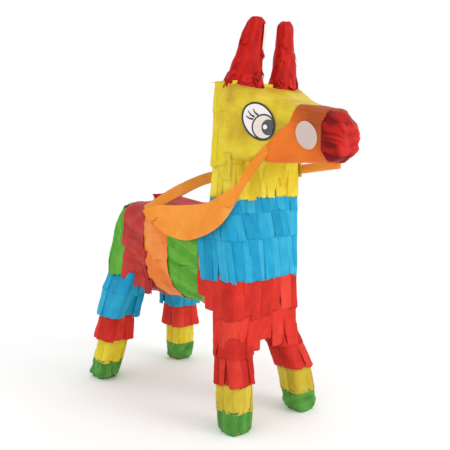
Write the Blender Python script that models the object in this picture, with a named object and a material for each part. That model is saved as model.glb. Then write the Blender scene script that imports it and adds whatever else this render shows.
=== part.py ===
"""A paper donkey pinata: cardboard boxes for the neck and head, a round-bottomed barrel
with a fill flap, four leg tubes, two ear cones and the crepe paper wrapped round them.

Metres, +Z up. The donkey faces -Y and its left side is +X. The origin is on the floor,
under the middle of the bounding box.
"""

import math

import bmesh
import bpy
import numpy as np
from mathutils import Matrix, Vector

# Driving dimensions
TOTAL_HEIGHT = 0.554
FLOOR = 0.006             # heights below are counted from a datum this far under the soles
BODY_HALF = 0.0665        # half the width over the paper, the same for neck and barrel
CARD = 0.003              # corrugated board
PAPER = 0.001             # the layers of crepe taken together
GAP = 0.0003              # between pieces that touch
CARD_INSET = 0.0045       # from the paper's face to the board's face on the square boxes
CARD_HALF = BODY_HALF - CARD_INSET
INNER_HALF = CARD_HALF - CARD - GAP

# Neck and chest box, as distances along Y
NECK_FRONT = -0.0910
CHEST_REAR = -0.0510
BARREL_FRONT = -0.0180
CHEST_BOTTOM = 0.122
LEDGE_Z = 0.172
JAW_Z = 0.373
HEAD_REAR = -0.054
HEAD_TOP = 0.4760
NOSE_TIP = -0.2405
NOSE_WALL = 0.002

# The head's taper, as (Y, half width, top Z), from the front of the neck to the snout's rim
HEAD_STATIONS = (
    (NECK_FRONT, BODY_HALF, 0.4710),
    (-0.126, 0.0490, 0.4560),
    (-0.163, 0.0350, 0.4445),
    (-0.209, 0.0265, 0.4360),
)

# Ears, as (height, centre from the middle plane, its Y, half width, half depth)
EAR_STATIONS = (
    (0.4780, 0.0370, -0.0815, 0.0265, 0.0145),
    (0.5100, 0.0350, -0.0865, 0.0215, 0.0125),
    (0.5400, 0.0310, -0.0915, 0.0165, 0.0100),
    (FLOOR + TOTAL_HEIGHT, 0.0280, -0.0945, 0.0105, 0.0055),
)
EAR_TURN = math.radians(14)
EAR_WALL = 0.0012

# Paper edges, as heights
YELLOW_BOTTOM = 0.322
BLUE_SEAMS = (0.303, 0.266, 0.208)
SOCK_TOP = 0.072
HOOF_TOP = 0.036
WRAP_REAR = -0.158

# Barrel
BACK_TOP = 0.300
SHOULDER_RADIUS = 0.030
FLAT_HALF = BODY_HALF - SHOULDER_RADIUS
BELLY_CENTRE_Z = 0.2205
BARREL_CARD_INSET = 0.002
BARREL_END = 0.184
RUMP_END = 0.2405
BAND_EDGES = (BARREL_FRONT, 0.053, 0.113, 0.172)

# Fill flap and hanger
FLAP_HINGE_Y = 0.069
FLAP_LENGTH = 0.075
FLAP_HALF = 0.028
FLAP_THICKNESS = 0.005
FLAP_AJAR = math.radians(7)
HANGER_Y = 0.0
RING_RADIUS = 0.0130
RING_WIRE = 0.0011
STAPLE_WIRE = 0.0008
STAPLE_HALF = 0.0040
RING_LIFT = 0.0025
PLATE_HALF = (0.018, 0.014)

# Legs: height, then how far the centre stands from the middle plane, and its Y
FRONT_LEG = ((0.122, 0.0460, -0.0710), (0.072, 0.0590, -0.0870), (0.0, 0.0660, -0.0970))
HIND_LEG = (
    (0.185, 0.0535, 0.1800),
    (0.115, 0.0655, 0.1970),
    (0.072, 0.0700, 0.2040),
    (0.0, 0.0810, 0.2200),
)
FRONT_FRINGE_TOP = 0.1217
THIGH_TOP = 0.185
THIGH_BOTTOM = 0.115
HOCK_BOTTOM = 0.075
TUBE_HALF = 0.0160
TUBE_WALL = 0.0024
HOOF_SOLE = FLOOR + 0.003

# Stickers
EYE_CENTRE = (-0.124, 0.424)
EYE_HALF = (0.0225, 0.0240)
NOSTRIL_CENTRE = (-0.189, 0.406)
NOSTRIL_RADIUS = 0.0162
STICKER = 0.0008

COLOURS = {
    "cardboard": ((0.47, 0.33, 0.20), 0.90, 0.0),
    "yellow_crepe": ((0.72, 0.56, 0.05), 0.85, 0.0),
    "blue_crepe": ((0.03, 0.38, 0.58), 0.85, 0.0),
    "red_crepe": ((0.71, 0.04, 0.03), 0.85, 0.0),
    "crimson_crepe": ((0.50, 0.03, 0.03), 0.80, 0.0),
    "green_crepe": ((0.14, 0.36, 0.05), 0.85, 0.0),
    "orange_crepe": ((0.88, 0.24, 0.04), 0.85, 0.0),
    "sticker_paper": ((0.66, 0.58, 0.54), 0.60, 0.0),
    "wire": ((0.55, 0.55, 0.56), 0.35, 1.0),
}


def clear_scene():
    for obj in list(bpy.data.objects):
        bpy.data.objects.remove(obj, do_unlink=True)


def make_materials():
    materials = {}
    for name, (colour, roughness, metallic) in COLOURS.items():
        material = bpy.data.materials.new(name)
        material.use_nodes = True
        principled = material.node_tree.nodes["Principled BSDF"]
        principled.inputs["Base Color"].default_value = (*colour, 1.0)
        principled.inputs["Roughness"].default_value = roughness
        principled.inputs["Metallic"].default_value = metallic
        material.diffuse_color = (*colour, 1.0)
        materials[name] = material
    return materials


def add_solid(name, points, faces, material):
    """An object whose faces all point outwards."""
    mesh = bpy.data.meshes.new(name)
    mesh.from_pydata([tuple(p) for p in points], [], faces)
    work = bmesh.new()
    work.from_mesh(mesh)
    bmesh.ops.recalc_face_normals(work, faces=work.faces)
    work.to_mesh(mesh)
    work.free()
    mesh.materials.append(bpy.data.materials[material])
    obj = bpy.data.objects.new(name, mesh)
    bpy.context.scene.collection.objects.link(obj)
    return obj


def ring_faces(first, second, count):
    """Quads between two loops of count points that start at these indices."""
    faces = []
    for i in range(count):
        j = (i + 1) % count
        faces.append((first + i, first + j, second + j, second + i))
    return faces


def loft(name, loops, material):
    """A solid through closed loops of equal count, flat at both ends."""
    count = len(loops[0])
    points = [p for loop in loops for p in loop]
    faces = [tuple(range(count))]
    for k in range(len(loops) - 1):
        faces += ring_faces(k * count, (k + 1) * count, count)
    last = (len(loops) - 1) * count
    faces.append(tuple(range(last, last + count)))
    return add_solid(name, points, faces, material)


def sleeve(name, outer, inner, material):
    """A tube between an outer and an inner stack of loops, open at both ends."""
    count = len(outer[0])
    levels = len(outer)
    points = [p for loop in outer + inner for p in loop]
    faces = []
    for k in range(levels - 1):
        faces += ring_faces(k * count, (k + 1) * count, count)
        faces += ring_faces((levels + k) * count, (levels + k + 1) * count, count)
    faces += ring_faces(0, levels * count, count)
    faces += ring_faces((levels - 1) * count, (2 * levels - 1) * count, count)
    return add_solid(name, points, faces, material)


def bowl(name, outer, inner, material):
    """A shell open at its first loops and closed at its last ones."""
    count = len(outer[0])
    points = [p for loop in outer + inner for p in loop]
    faces = []
    for start, loops in ((0, outer), (len(outer) * count, inner)):
        for k in range(len(loops) - 1):
            faces += ring_faces(start + k * count, start + (k + 1) * count, count)
        last = start + (len(loops) - 1) * count
        faces.append(tuple(range(last, last + count)))
    faces += ring_faces(0, len(outer) * count, count)
    return add_solid(name, points, faces, material)


def prism(name, outline, axis, low, high, material):
    """An outline pushed along one axis. Its two numbers are the other two axes in X, Y, Z order."""
    loops = []
    for level in (low, high):
        if axis == "x":
            loops.append([(level, u, v) for u, v in outline])
        elif axis == "y":
            loops.append([(u, level, v) for u, v in outline])
        else:
            loops.append([(u, v, level) for u, v in outline])
    return loft(name, loops, material)


def box_outline(low, high):
    (x0, y0), (x1, y1) = low, high
    return [(x0, y0), (x1, y0), (x1, y1), (x0, y1)]


def mirrored(points):
    return [(-p[0], *p[1:]) for p in points]


def cutter(obj):
    obj.hide_render = True
    obj.display_type = "WIRE"
    return obj


def cut(obj, tool):
    modifier = obj.modifiers.new("cut", "BOOLEAN")
    modifier.operation = "DIFFERENCE"
    modifier.object = tool


def both_sides():
    """(name, sign of X): the right side is -X, because the donkey faces -Y."""
    return (("right", -1.0), ("left", 1.0))


def at_height(stations, z):
    """Centre of a leg at a height, between the stations above and below it."""
    heights = [s[0] for s in reversed(stations)]
    away = np.interp(z, heights, [s[1] for s in reversed(stations)])
    along = np.interp(z, heights, [s[2] for s in reversed(stations)])
    return float(away), float(along)


def square_loop(centre, half, corner, z):
    """A rounded square of eight points, level, at a height."""
    (cx, cy), (hx, hy) = centre, half
    signs = ((1, -1), (1, 1), (-1, 1), (-1, -1))
    points = []
    for k, (sx, sy) in enumerate(signs):
        first = (cx + sx * hx, cy + sy * (hy - corner), z)
        second = (cx + sx * (hx - corner), cy + sy * hy, z)
        points += [first, second] if k % 2 else [second, first]
    return points


def leg_loops(stations, side, levels, inset):
    """Level loops round a leg. Each level is (height, half X, half Y)."""
    loops = []
    for z, hx, hy in levels:
        away, along = at_height(stations, z)
        half = (hx - inset, hy - inset)
        loops.append(square_loop((side * away, along), half, 0.3 * half[0], z))
    return loops


def leg_sleeve(name, stations, side, levels, wall, material):
    outer = leg_loops(stations, side, levels, 0.0)
    inner = leg_loops(stations, side, levels, wall)
    return sleeve(name, outer, inner, material)


# The profile of the neck and head, in Y and Z

def rear_of_neck(z, inset):
    """Y of the neck's rear face at a height."""
    heights = (0.262, 0.333, 0.400, HEAD_TOP)
    rears = (BARREL_FRONT, -0.0430, -0.0470, HEAD_REAR)
    return float(np.interp(z, heights, rears)) - inset


def head_half(y):
    """Half the head's width over the paper at a distance along Y."""
    spots = [-s[0] for s in HEAD_STATIONS]
    return float(np.interp(-y, spots, [s[1] for s in HEAD_STATIONS]))


def side_outline():
    """The board's outline: chest and neck seen from the side."""
    d = CARD_INSET
    return [
        (NECK_FRONT + d, CHEST_BOTTOM),
        (CHEST_REAR - d, CHEST_BOTTOM),
        (CHEST_REAR - d, LEDGE_Z - 0.006),
        (BARREL_FRONT - d, LEDGE_Z),
        (BARREL_FRONT - d, 0.262),
        (rear_of_neck(0.333, d), 0.333),
        (rear_of_neck(0.400, d), 0.400),
        (HEAD_REAR - d, HEAD_TOP - d),
        (NECK_FRONT + d, HEAD_STATIONS[0][2] - d),
    ]


def make_neck_box():
    d = CARD_INSET
    front = NECK_FRONT + d
    for side, sign in both_sides():
        ends = sorted((sign * (CARD_HALF - CARD), sign * CARD_HALF))
        prism(f"side_panel_{side}", side_outline(), "x", *ends, "cardboard")
    outline = box_outline((front, CHEST_BOTTOM), (front + CARD, JAW_Z + d - GAP))
    prism("neck_front_panel", outline, "x", -INNER_HALF, INNER_HALF, "cardboard")
    rear = CHEST_REAR - d
    outline = box_outline((front + CARD + GAP, CHEST_BOTTOM), (rear - CARD - GAP, CHEST_BOTTOM + CARD))
    prism("chest_floor", outline, "x", -INNER_HALF, INNER_HALF, "cardboard")
    ledge = BARREL_FRONT - d
    outline = [
        (rear - CARD, CHEST_BOTTOM),
        (rear, CHEST_BOTTOM),
        (rear, LEDGE_Z - 0.006),
        (ledge, LEDGE_Z),
        (ledge, LEDGE_Z + CARD),
        (rear - CARD, LEDGE_Z - 0.006 + CARD),
    ]
    prism("chest_rear_panel", outline, "x", -INNER_HALF, INNER_HALF, "cardboard")
    outline = box_outline((ledge - CARD, LEDGE_Z + CARD + GAP), (ledge, 0.262))
    prism("barrel_bulkhead", outline, "x", -INNER_HALF, INNER_HALF, "cardboard")
    heights = (0.262 + GAP, 0.333, 0.400, HEAD_TOP - d - 1.5 * CARD)
    outer = [(rear_of_neck(z, d), z) for z in heights]
    inner = [(y - CARD, z) for y, z in reversed(outer)]
    prism("neck_rear_panel", outer + inner, "x", -INNER_HALF, INNER_HALF, "cardboard")


def make_head_box():
    """The top, the jaw and the two cheeks, which all taper to the snout's rim."""
    d = CARD_INSET
    depth = CARD + GAP
    front = NECK_FRONT + d - GAP
    starts = ((front, CARD_HALF, HEAD_STATIONS[0][2] - d),)
    stations = starts + tuple((y, half - 1.3 * d, top - 1.3 * d) for y, half, top in HEAD_STATIONS[1:])
    low = JAW_Z + d
    half = INNER_HALF
    loops = [[(-half, y, z), (half, y, z), (half, y, z - CARD), (-half, y, z - CARD)]
             for y, z in ((HEAD_REAR - d - GAP, HEAD_TOP - d), (NECK_FRONT + d, HEAD_STATIONS[0][2] - d))]
    for y, half, top in stations[1:]:
        half -= depth
        loops.append([(-half, y, top), (half, y, top), (half, y, top - CARD), (-half, y, top - CARD)])
    loft("head_top_panel", loops, "cardboard")
    side = [(half - depth, y) for y, half, _ in stations]
    prism("jaw_panel", side + mirrored(reversed(side)), "z", low, low + CARD, "cardboard")
    for name, sign in both_sides():
        loops = []
        for y, half, top in stations:
            outer = sign * half
            inner = sign * (half - CARD)
            loops.append([(outer, y, low), (outer, y, top), (inner, y, top), (inner, y, low)])
        loft(f"cheek_panel_{name}", loops, "cardboard")


def half_section(inset, keel):
    """Half the barrel's outline, from the flat top round the side to the keel, at +X."""
    shoulder = SHOULDER_RADIUS - inset
    belly = BODY_HALF - inset
    points = []
    for angle in np.linspace(90, 0, 5):
        a = math.radians(angle)
        z = BACK_TOP - SHOULDER_RADIUS + shoulder * math.sin(a)
        points.append((FLAT_HALF + shoulder * math.cos(a), z))
    last = math.degrees(math.asin(keel / belly)) - 90
    for angle in np.linspace(0, last, 9):
        a = math.radians(angle)
        points.append((belly * math.cos(a), BELLY_CENTRE_Z + belly * math.sin(a)))
    return points


def full_section(inset):
    """The whole closed outline of the barrel, level on top."""
    half = half_section(inset, 0.0)
    return half + mirrored(reversed(half[:-1]))


def make_barrel():
    start = BARREL_FRONT - CARD_INSET + GAP
    outer_inset = BARREL_CARD_INSET
    for side, sign in both_sides():
        outline = half_section(outer_inset, GAP) + list(reversed(half_section(outer_inset + CARD, GAP)))
        outline = [(sign * x, z) for x, z in outline]
        prism(f"barrel_flank_{side}", outline, "y", start, BARREL_END, "cardboard")
    half = FLAT_HALF - GAP
    top = BACK_TOP - outer_inset
    tool = make_back_cutter()
    outline = box_outline((-half, start), (half, BARREL_END))
    cut(prism("back_panel", outline, "z", top - CARD, top, "cardboard"), tool)
    outline = box_outline((-half, BARREL_FRONT + GAP), (half, BAND_EDGES[-1]))
    cut(prism("back_strip", outline, "z", BACK_TOP - PAPER, BACK_TOP, "red_crepe"), tool)
    plate = top - CARD - GAP
    half_x, half_y = PLATE_HALF
    outline = box_outline((-half_x, HANGER_Y - half_y), (half_x, HANGER_Y + half_y))
    cut(prism("hanger_plate", outline, "z", plate - CARD, plate, "cardboard"), tool)


def make_back_cutter():
    """The flap's hole and the two holes of the hanger's staple, as three boxes."""
    clear = 0.0004
    low = BACK_TOP - 0.020
    high = BACK_TOP + 0.020
    hole = 0.0012
    boxes = [((-FLAP_HALF - clear, FLAP_HINGE_Y), (FLAP_HALF + clear, FLAP_HINGE_Y + FLAP_LENGTH + clear))]
    for sign in (-1, 1):
        y = HANGER_Y + sign * STAPLE_HALF
        boxes.append(((-hole, y - hole), (hole, y + hole)))
    points = []
    faces = []
    for first, second in boxes:
        base = len(points)
        outline = box_outline(first, second)
        points += [(u, v, low) for u, v in outline] + [(u, v, high) for u, v in outline]
        faces.append((base, base + 1, base + 2, base + 3))
        faces.append((base + 4, base + 5, base + 6, base + 7))
        faces += ring_faces(base, base + 4, 4)
    return cutter(add_solid("cutter_back", points, faces, "cardboard"))


def dome_loops(start, end, inset, rings):
    """Sections of the rump. The back slopes down, the belly rises a little and the sides close in."""
    low = BELLY_CENTRE_Z - BODY_HALF + inset
    high = BACK_TOP - inset
    loops = []
    for t in np.linspace(0, 1, rings):
        y = start + (end - start) * t
        top = high - 0.082 * t**1.15
        bottom = low + 0.020 * t * t
        wide = math.sqrt(1 - 0.72 * t * t)
        stretch = (top - bottom) / (high - low)
        loops.append([(x * wide, y, bottom + (z - low) * stretch) for x, z in full_section(inset)])
    return loops


def make_rump():
    inset = BARREL_CARD_INSET
    start = BARREL_END + GAP
    end = RUMP_END - 0.0025
    outer = dome_loops(start, end, inset, 6)
    inner = dome_loops(start, end - CARD, inset + CARD, 6)
    bowl("rump_cap", outer, inner, "cardboard")
    edge = BAND_EDGES[-1] + GAP
    rims = [[(x, edge, z) for x, z in full_section(i)] for i in (0.0, PAPER)]
    outer = [rims[0]] + dome_loops(start, RUMP_END, 0.0, 6)
    inner = [rims[1]] + dome_loops(start, RUMP_END - PAPER, PAPER, 6)
    bowl("rump_cover", outer, inner, "green_crepe")
    rings = [[(x, BARREL_FRONT, z) for x, z in full_section(-GAP)]]
    rings += dome_loops(BARREL_END, RUMP_END + GAP, -GAP, 6)
    return cutter(loft("cutter_barrel", rings, "cardboard"))


def make_bands():
    outline = []
    for inset in (0.0, PAPER):
        half = half_section(inset, 0.0)
        whole = half + mirrored(reversed(half[:-1]))
        outline += whole if inset == 0.0 else list(reversed(whole))
    for k, colour in enumerate(("green", "orange", "crimson")):
        ends = (BAND_EDGES[k] + GAP, BAND_EDGES[k + 1])
        prism(f"band_{colour}", outline, "y", *ends, f"{colour}_crepe")


def make_legs(barrel):
    for side, sign in both_sides():
        heights = (FRONT_FRINGE_TOP, SOCK_TOP, HOOF_SOLE + GAP)
        tube = [(z, TUBE_HALF, TUBE_HALF) for z in heights]
        leg_sleeve(f"front_leg_tube_{side}", FRONT_LEG, sign, tube, TUBE_WALL, "cardboard")
        levels = [(FRONT_FRINGE_TOP, 0.0215, 0.0200), (SOCK_TOP + GAP, 0.0225, 0.0225)]
        leg_sleeve(f"front_leg_fringe_{side}", FRONT_LEG, sign, levels, PAPER, "red_crepe")
        make_foot("front", side, sign, FRONT_LEG, SOCK_TOP)
        heights = (THIGH_TOP, THIGH_BOTTOM, SOCK_TOP, HOOF_SOLE + GAP)
        tube = [(z, TUBE_HALF, TUBE_HALF) for z in heights]
        leg = leg_sleeve(f"hind_leg_tube_{side}", HIND_LEG, sign, tube, TUBE_WALL, "cardboard")
        cut(leg, barrel)
        levels = [(THIGH_TOP, 0.0240, 0.0330), (THIGH_BOTTOM, 0.0265, 0.0310)]
        thigh = leg_sleeve(f"thigh_fringe_{side}", HIND_LEG, sign, levels, PAPER, "blue_crepe")
        cut(thigh, barrel)
        levels = [(THIGH_BOTTOM - GAP, 0.0225, 0.0240), (HOCK_BOTTOM + GAP, 0.0265, 0.0280)]
        leg_sleeve(f"hock_fringe_{side}", HIND_LEG, sign, levels, PAPER, "red_crepe")
        make_foot("hind", side, sign, HIND_LEG, HOCK_BOTTOM)


def make_foot(end, side, sign, stations, top):
    levels = [(top, 0.0200, 0.0200), (HOOF_TOP + GAP, 0.0190, 0.0190)]
    leg_sleeve(f"{end}_sock_{side}", stations, sign, levels, PAPER, "yellow_crepe")
    heights = ((HOOF_TOP, 0.0195), (0.018, 0.0190), (FLOOR, 0.0175))
    outer = leg_loops(stations, sign, [(z, h, h) for z, h in heights], 0.0)
    heights = ((HOOF_TOP, 0.0180), (HOOF_SOLE, 0.0170))
    inner = leg_loops(stations, sign, [(z, h, h) for z, h in heights], 0.0)
    bowl(f"{end}_hoof_{side}", outer, inner, "green_crepe")


def c_outline(front, rear, thick):
    """Three sides of a square tube in plan, open at the rear."""
    outer = BODY_HALF
    inner = BODY_HALF - thick
    return [
        (-outer, rear), (-outer, front), (outer, front), (outer, rear),
        (inner, rear), (inner, front + thick), (-inner, front + thick), (-inner, rear),
    ]


def make_column_paper():
    upper, middle, lower = BLUE_SEAMS
    outer = []
    inner = []
    for z in (YELLOW_BOTTOM - GAP, upper + GAP):
        for loops, d in ((outer, 0.0), (inner, PAPER)):
            half = BODY_HALF - d
            rear = rear_of_neck(z, d)
            front = NECK_FRONT + d
            loops.append([(-half, front, z), (half, front, z), (half, rear, z), (-half, rear, z)])
    sleeve("blue_fringe_upper", outer, inner, "blue_crepe")
    rear = BARREL_FRONT - GAP
    outline = c_outline(NECK_FRONT, rear_of_neck(upper, GAP), PAPER)
    prism("blue_fringe_middle", outline, "z", middle + GAP, upper, "blue_crepe")
    outline = c_outline(NECK_FRONT, rear, PAPER)
    prism("blue_fringe_lower", outline, "z", lower + GAP, middle, "blue_crepe")
    outline = c_outline(NECK_FRONT, CHEST_REAR, PAPER)
    prism("chest_fringe", outline, "z", CHEST_BOTTOM + GAP, lower, "red_crepe")


def head_loop(y, inset):
    """A square section of the head's paper."""
    half = head_half(y) - inset
    top = float(np.interp(-y, [-s[0] for s in HEAD_STATIONS], [s[2] for s in HEAD_STATIONS])) - inset
    low = JAW_Z + inset
    return [(-half, y, low), (half, y, low), (half, y, top), (-half, y, top)]


def neck_loop(z, inset, top):
    """A square section of the neck's paper. The highest one follows the slope of the crown."""
    half = BODY_HALF - inset
    rear = rear_of_neck(z, inset)
    front = NECK_FRONT + inset
    fall = (HEAD_TOP - HEAD_STATIONS[0][2]) if top else 0.0
    return [(-half, front, z - fall), (half, front, z - fall), (half, rear, z), (-half, rear, z)]


def make_head_paper():
    levels = (YELLOW_BOTTOM, 0.333, 0.400)
    outer = [neck_loop(z, 0.0, False) for z in levels] + [neck_loop(HEAD_TOP, 0.0, True)]
    inner = [neck_loop(z, PAPER, False) for z in levels] + [neck_loop(HEAD_TOP - PAPER, PAPER, True)]
    neck = bowl("neck_cover", outer, inner, "yellow_crepe")
    mouth = [(-CARD_HALF - GAP, JAW_Z + CARD_INSET - GAP), (CARD_HALF + GAP, HEAD_TOP - CARD_INSET)]
    ends = (NECK_FRONT - 0.010, NECK_FRONT + 0.010)
    tool = prism("cutter_head", box_outline(*mouth), "y", *ends, "cardboard")
    cut(neck, cutter(tool))
    middle = [s[0] for s in HEAD_STATIONS[1:-1]]
    first = [NECK_FRONT - GAP] + [y for y in middle if y > WRAP_REAR] + [WRAP_REAR]
    second = [WRAP_REAR - GAP] + [y for y in middle if y < WRAP_REAR] + [HEAD_STATIONS[-1][0]]
    covers = (("face_cover", first, "yellow_crepe"), ("muzzle_wrap", second, "orange_crepe"))
    for name, spots, material in covers:
        outer = [head_loop(y, 0.0) for y in spots]
        inner = [head_loop(y, PAPER) for y in spots]
        sleeve(name, outer, inner, material)
    make_nose()


def make_nose():
    """The crumpled cap on the end of the snout, a shallow bowl that opens backwards."""
    rim, half, top = HEAD_STATIONS[-1]
    middle = (JAW_Z + top) / 2
    tall = (top - JAW_Z) / 2
    profile = (
        (rim - GAP, half, tall),
        (-0.226, half * 0.98, tall * 0.96),
        (NOSE_TIP, half * 0.60, tall * 0.60),
    )
    loops = {}
    for name, wall in (("outer", 0.0), ("inner", NOSE_WALL)):
        loops[name] = []
        for y, half_x, half_z in profile:
            ring = []
            for k in range(16):
                a = 2 * math.pi * k / 16
                ring.append(((half_x - wall) * math.cos(a), y, middle + (half_z - wall) * math.sin(a)))
            loops[name].append(ring)
    loops["inner"][-1] = [(x, y + NOSE_WALL, z) for x, y, z in loops["inner"][-1]]
    bowl("nose_cap", loops["outer"], loops["inner"], "red_crepe")


def make_ears():
    """Flattened cones, open below, leaning inwards and forwards."""
    count = 12
    for side, sign in both_sides():
        turn = Matrix.Rotation(sign * EAR_TURN, 2)
        loops = {0.0: [], EAR_WALL: []}
        for wall, rings in loops.items():
            for z, away, y, wide, deep in EAR_STATIONS:
                ring = []
                for k in range(count):
                    a = 2 * math.pi * k / count
                    x, v = turn @ Vector(((wide - wall) * math.cos(a), (deep - wall) * math.sin(a)))
                    ring.append((sign * away + x, y + v, z))
                rings.append(ring)
        loops[EAR_WALL][-1] = [(x, y, z - EAR_WALL) for x, y, z in loops[EAR_WALL][-1]]
        bowl(f"ear_{side}", loops[0.0], loops[EAR_WALL], "red_crepe")


def disc_outline(half, count):
    angles = [2 * math.pi * k / count for k in range(count)]
    return [(half[0] * math.cos(a), half[1] * math.sin(a)) for a in angles]


def make_stickers():
    """Eyes and nostrils, flat discs on the cheeks, each turned with the taper under it."""
    nostril = (NOSTRIL_RADIUS, NOSTRIL_RADIUS)
    spots = (("eye", EYE_CENTRE, EYE_HALF, 20, 0.0022), ("nostril", NOSTRIL_CENTRE, nostril, 16, 0.0012))
    step = 0.01
    for side, sign in both_sides():
        for name, (y, z), half, count, clear in spots:
            outline = disc_outline(half, count)
            ends = sorted((0.0, sign * STICKER))
            disc = prism(f"{name}_sticker_{side}", outline, "x", *ends, "sticker_paper")
            slope = math.atan2(head_half(y + step) - head_half(y - step), 2 * step)
            disc.location = (sign * (head_half(y) + clear), y, z)
            disc.rotation_euler = (0, 0, -sign * slope)


def make_flap():
    """The lid of the fill hole. Its origin is on the hinge line, above its front edge."""
    clear = 0.0004
    outline = box_outline((-FLAP_HALF, clear), (FLAP_HALF, FLAP_LENGTH - clear))
    flap = prism("fill_flap", outline, "z", -GAP - FLAP_THICKNESS, -GAP, "red_crepe")
    flap.location = (0, FLAP_HINGE_Y, BACK_TOP + GAP)
    flap.rotation_euler = (FLAP_AJAR, 0, 0)


def wire(name, points, radius, closed):
    """Bent wire: a poly curve with a round bevel."""
    data = bpy.data.curves.new(name, "CURVE")
    data.dimensions = "3D"
    data.bevel_depth = radius
    data.bevel_resolution = 2
    data.use_fill_caps = not closed
    spline = data.splines.new("POLY")
    spline.points.add(len(points) - 1)
    for point, place in zip(spline.points, points):
        point.co = (*place, 1)
    spline.use_cyclic_u = closed
    data.materials.append(bpy.data.materials["wire"])
    obj = bpy.data.objects.new(name, data)
    bpy.context.scene.collection.objects.link(obj)
    return obj


def make_hanger():
    """A staple through the back with its feet bent out under the plate, and a ring in its arch."""
    under = BACK_TOP - BARREL_CARD_INSET - 2 * CARD - GAP - GAP - STAPLE_WIRE
    axis_z = BACK_TOP + RING_LIFT
    top = axis_z + RING_WIRE + STAPLE_WIRE + 0.0004
    foot = STAPLE_HALF + 0.007
    bend = 0.0008
    arch = 0.0015
    half = [(foot, under), (STAPLE_HALF + bend, under), (STAPLE_HALF, under + bend)]
    half += [(STAPLE_HALF, top - arch), (STAPLE_HALF - arch, top)]
    points = [(0, HANGER_Y + y, z) for y, z in half] + [(0, HANGER_Y - y, z) for y, z in reversed(half)]
    wire("hanger_staple", points, STAPLE_WIRE, False)
    ring = []
    for k in range(32):
        a = 2 * math.pi * k / 32
        ring.append((RING_RADIUS * math.sin(a), RING_RADIUS * (1 - math.cos(a)), 0))
    wire("hanger_ring", ring, RING_WIRE, True).location = (0, HANGER_Y, axis_z)


def ribbon(name, stations, material):
    """A flat strip through stations. Each is a centre and the vector to one edge."""
    thick = 0.0006
    centres = [Vector(c) for c, _ in stations]
    loops = []
    for k, (centre, edge) in enumerate(stations):
        along = centres[min(k + 1, len(centres) - 1)] - centres[max(k - 1, 0)]
        edge = Vector(edge)
        normal = along.cross(edge).normalized() * thick
        centre = Vector(centre)
        low = centre - edge
        high = centre + edge
        loops.append([low - normal, high - normal, high + normal, low + normal])
    return loft(name, loops, material)


def make_reins():
    """The streamer that stands for the reins: down the right side, and back over the left."""
    right = [
        ((-0.0520, -0.133, 0.3860), (0, 0.002, 0.0080)),
        ((-0.0605, -0.117, 0.3615), (0, 0.003, 0.0062)),
        ((-0.0690, -0.105, 0.3360), (0, 0.0015, 0.0078)),
        ((-0.0740, -0.080, 0.3095), (0, 0.000, 0.0195)),
        ((-0.0745, -0.028, 0.2885), (0, -0.012, 0.0270)),
        ((-0.0740, 0.022, 0.2850), (0, -0.006, 0.0240)),
        ((-0.0720, 0.070, 0.2880), (0, 0.000, 0.0170)),
        ((-0.0700, 0.108, 0.2910), (0, 0.004, 0.0100)),
    ]
    ribbon("rein_right", right, "orange_crepe")
    left = [
        ((-0.0640, 0.116, 0.3020), (0, 0.004, 0.0060)),
        ((-0.0480, 0.090, 0.3130), (0, 0.002, 0.0085)),
        ((-0.0330, 0.062, 0.3200), (0, 0.002, 0.0090)),
        ((0.0000, 0.042, 0.3300), (0, 0.000, 0.0090)),
        ((0.0420, 0.000, 0.3420), (0, 0.000, 0.0085)),
        ((0.0695, -0.046, 0.3510), (0, 0.000, 0.0075)),
        ((0.0700, -0.085, 0.3570), (0, 0.000, 0.0065)),
        ((0.0700, -0.125, 0.3630), (0, 0.000, 0.0055)),
        ((0.0690, -0.162, 0.3680), (0, 0.000, 0.0050)),
    ]
    ribbon("rein_left", left, "orange_crepe")


def stand_on_floor():
    """Hang every piece on one empty and lower it, so that the soles are at Z = 0."""
    stand = bpy.data.objects.new("stand", None)
    bpy.context.scene.collection.objects.link(stand)
    for obj in list(bpy.context.scene.collection.objects):
        if obj is not stand:
            obj.parent = stand
    stand.location = (0, 0, -FLOOR)


def main():
    clear_scene()
    make_materials()
    make_neck_box()
    make_head_box()
    make_barrel()
    barrel = make_rump()
    make_bands()
    make_legs(barrel)
    make_column_paper()
    make_head_paper()
    make_ears()
    make_stickers()
    make_flap()
    make_hanger()
    make_reins()
    stand_on_floor()


main()
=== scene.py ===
import math

import bpy
import numpy as np
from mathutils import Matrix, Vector


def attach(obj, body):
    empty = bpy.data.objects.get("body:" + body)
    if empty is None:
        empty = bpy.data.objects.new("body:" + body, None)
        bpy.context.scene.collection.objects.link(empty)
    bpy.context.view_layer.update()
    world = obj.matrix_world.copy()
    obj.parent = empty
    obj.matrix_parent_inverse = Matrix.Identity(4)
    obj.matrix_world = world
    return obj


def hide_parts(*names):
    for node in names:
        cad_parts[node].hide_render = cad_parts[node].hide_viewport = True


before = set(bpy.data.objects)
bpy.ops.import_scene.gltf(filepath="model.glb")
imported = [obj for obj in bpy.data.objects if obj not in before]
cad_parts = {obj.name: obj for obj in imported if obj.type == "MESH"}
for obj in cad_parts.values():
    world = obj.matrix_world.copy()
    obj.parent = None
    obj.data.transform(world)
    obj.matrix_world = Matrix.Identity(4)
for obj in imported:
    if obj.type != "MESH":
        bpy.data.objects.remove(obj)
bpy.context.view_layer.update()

# Small tools

lattice = np.random.default_rng(41).random((32, 32, 32))


def smoothNoise(points, size):
    # Value noise from -1 to 1: random numbers on a lattice of this size in metres, blended by 3f2 - 2f3.
    q = points / size
    cell = np.floor(q).astype(int)
    f = q - cell
    f = f * f * (3 - 2 * f)
    total = 0
    for corner in range(8):
        step = np.array([corner & 1, corner >> 1 & 1, corner >> 2 & 1])
        weight = np.prod(np.where(step, f, 1 - f), axis=-1)
        i, j, k = np.moveaxis((cell + step) % 32, -1, 0)
        total = total + weight * lattice[i, j, k]
    return 2 * total - 1


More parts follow.
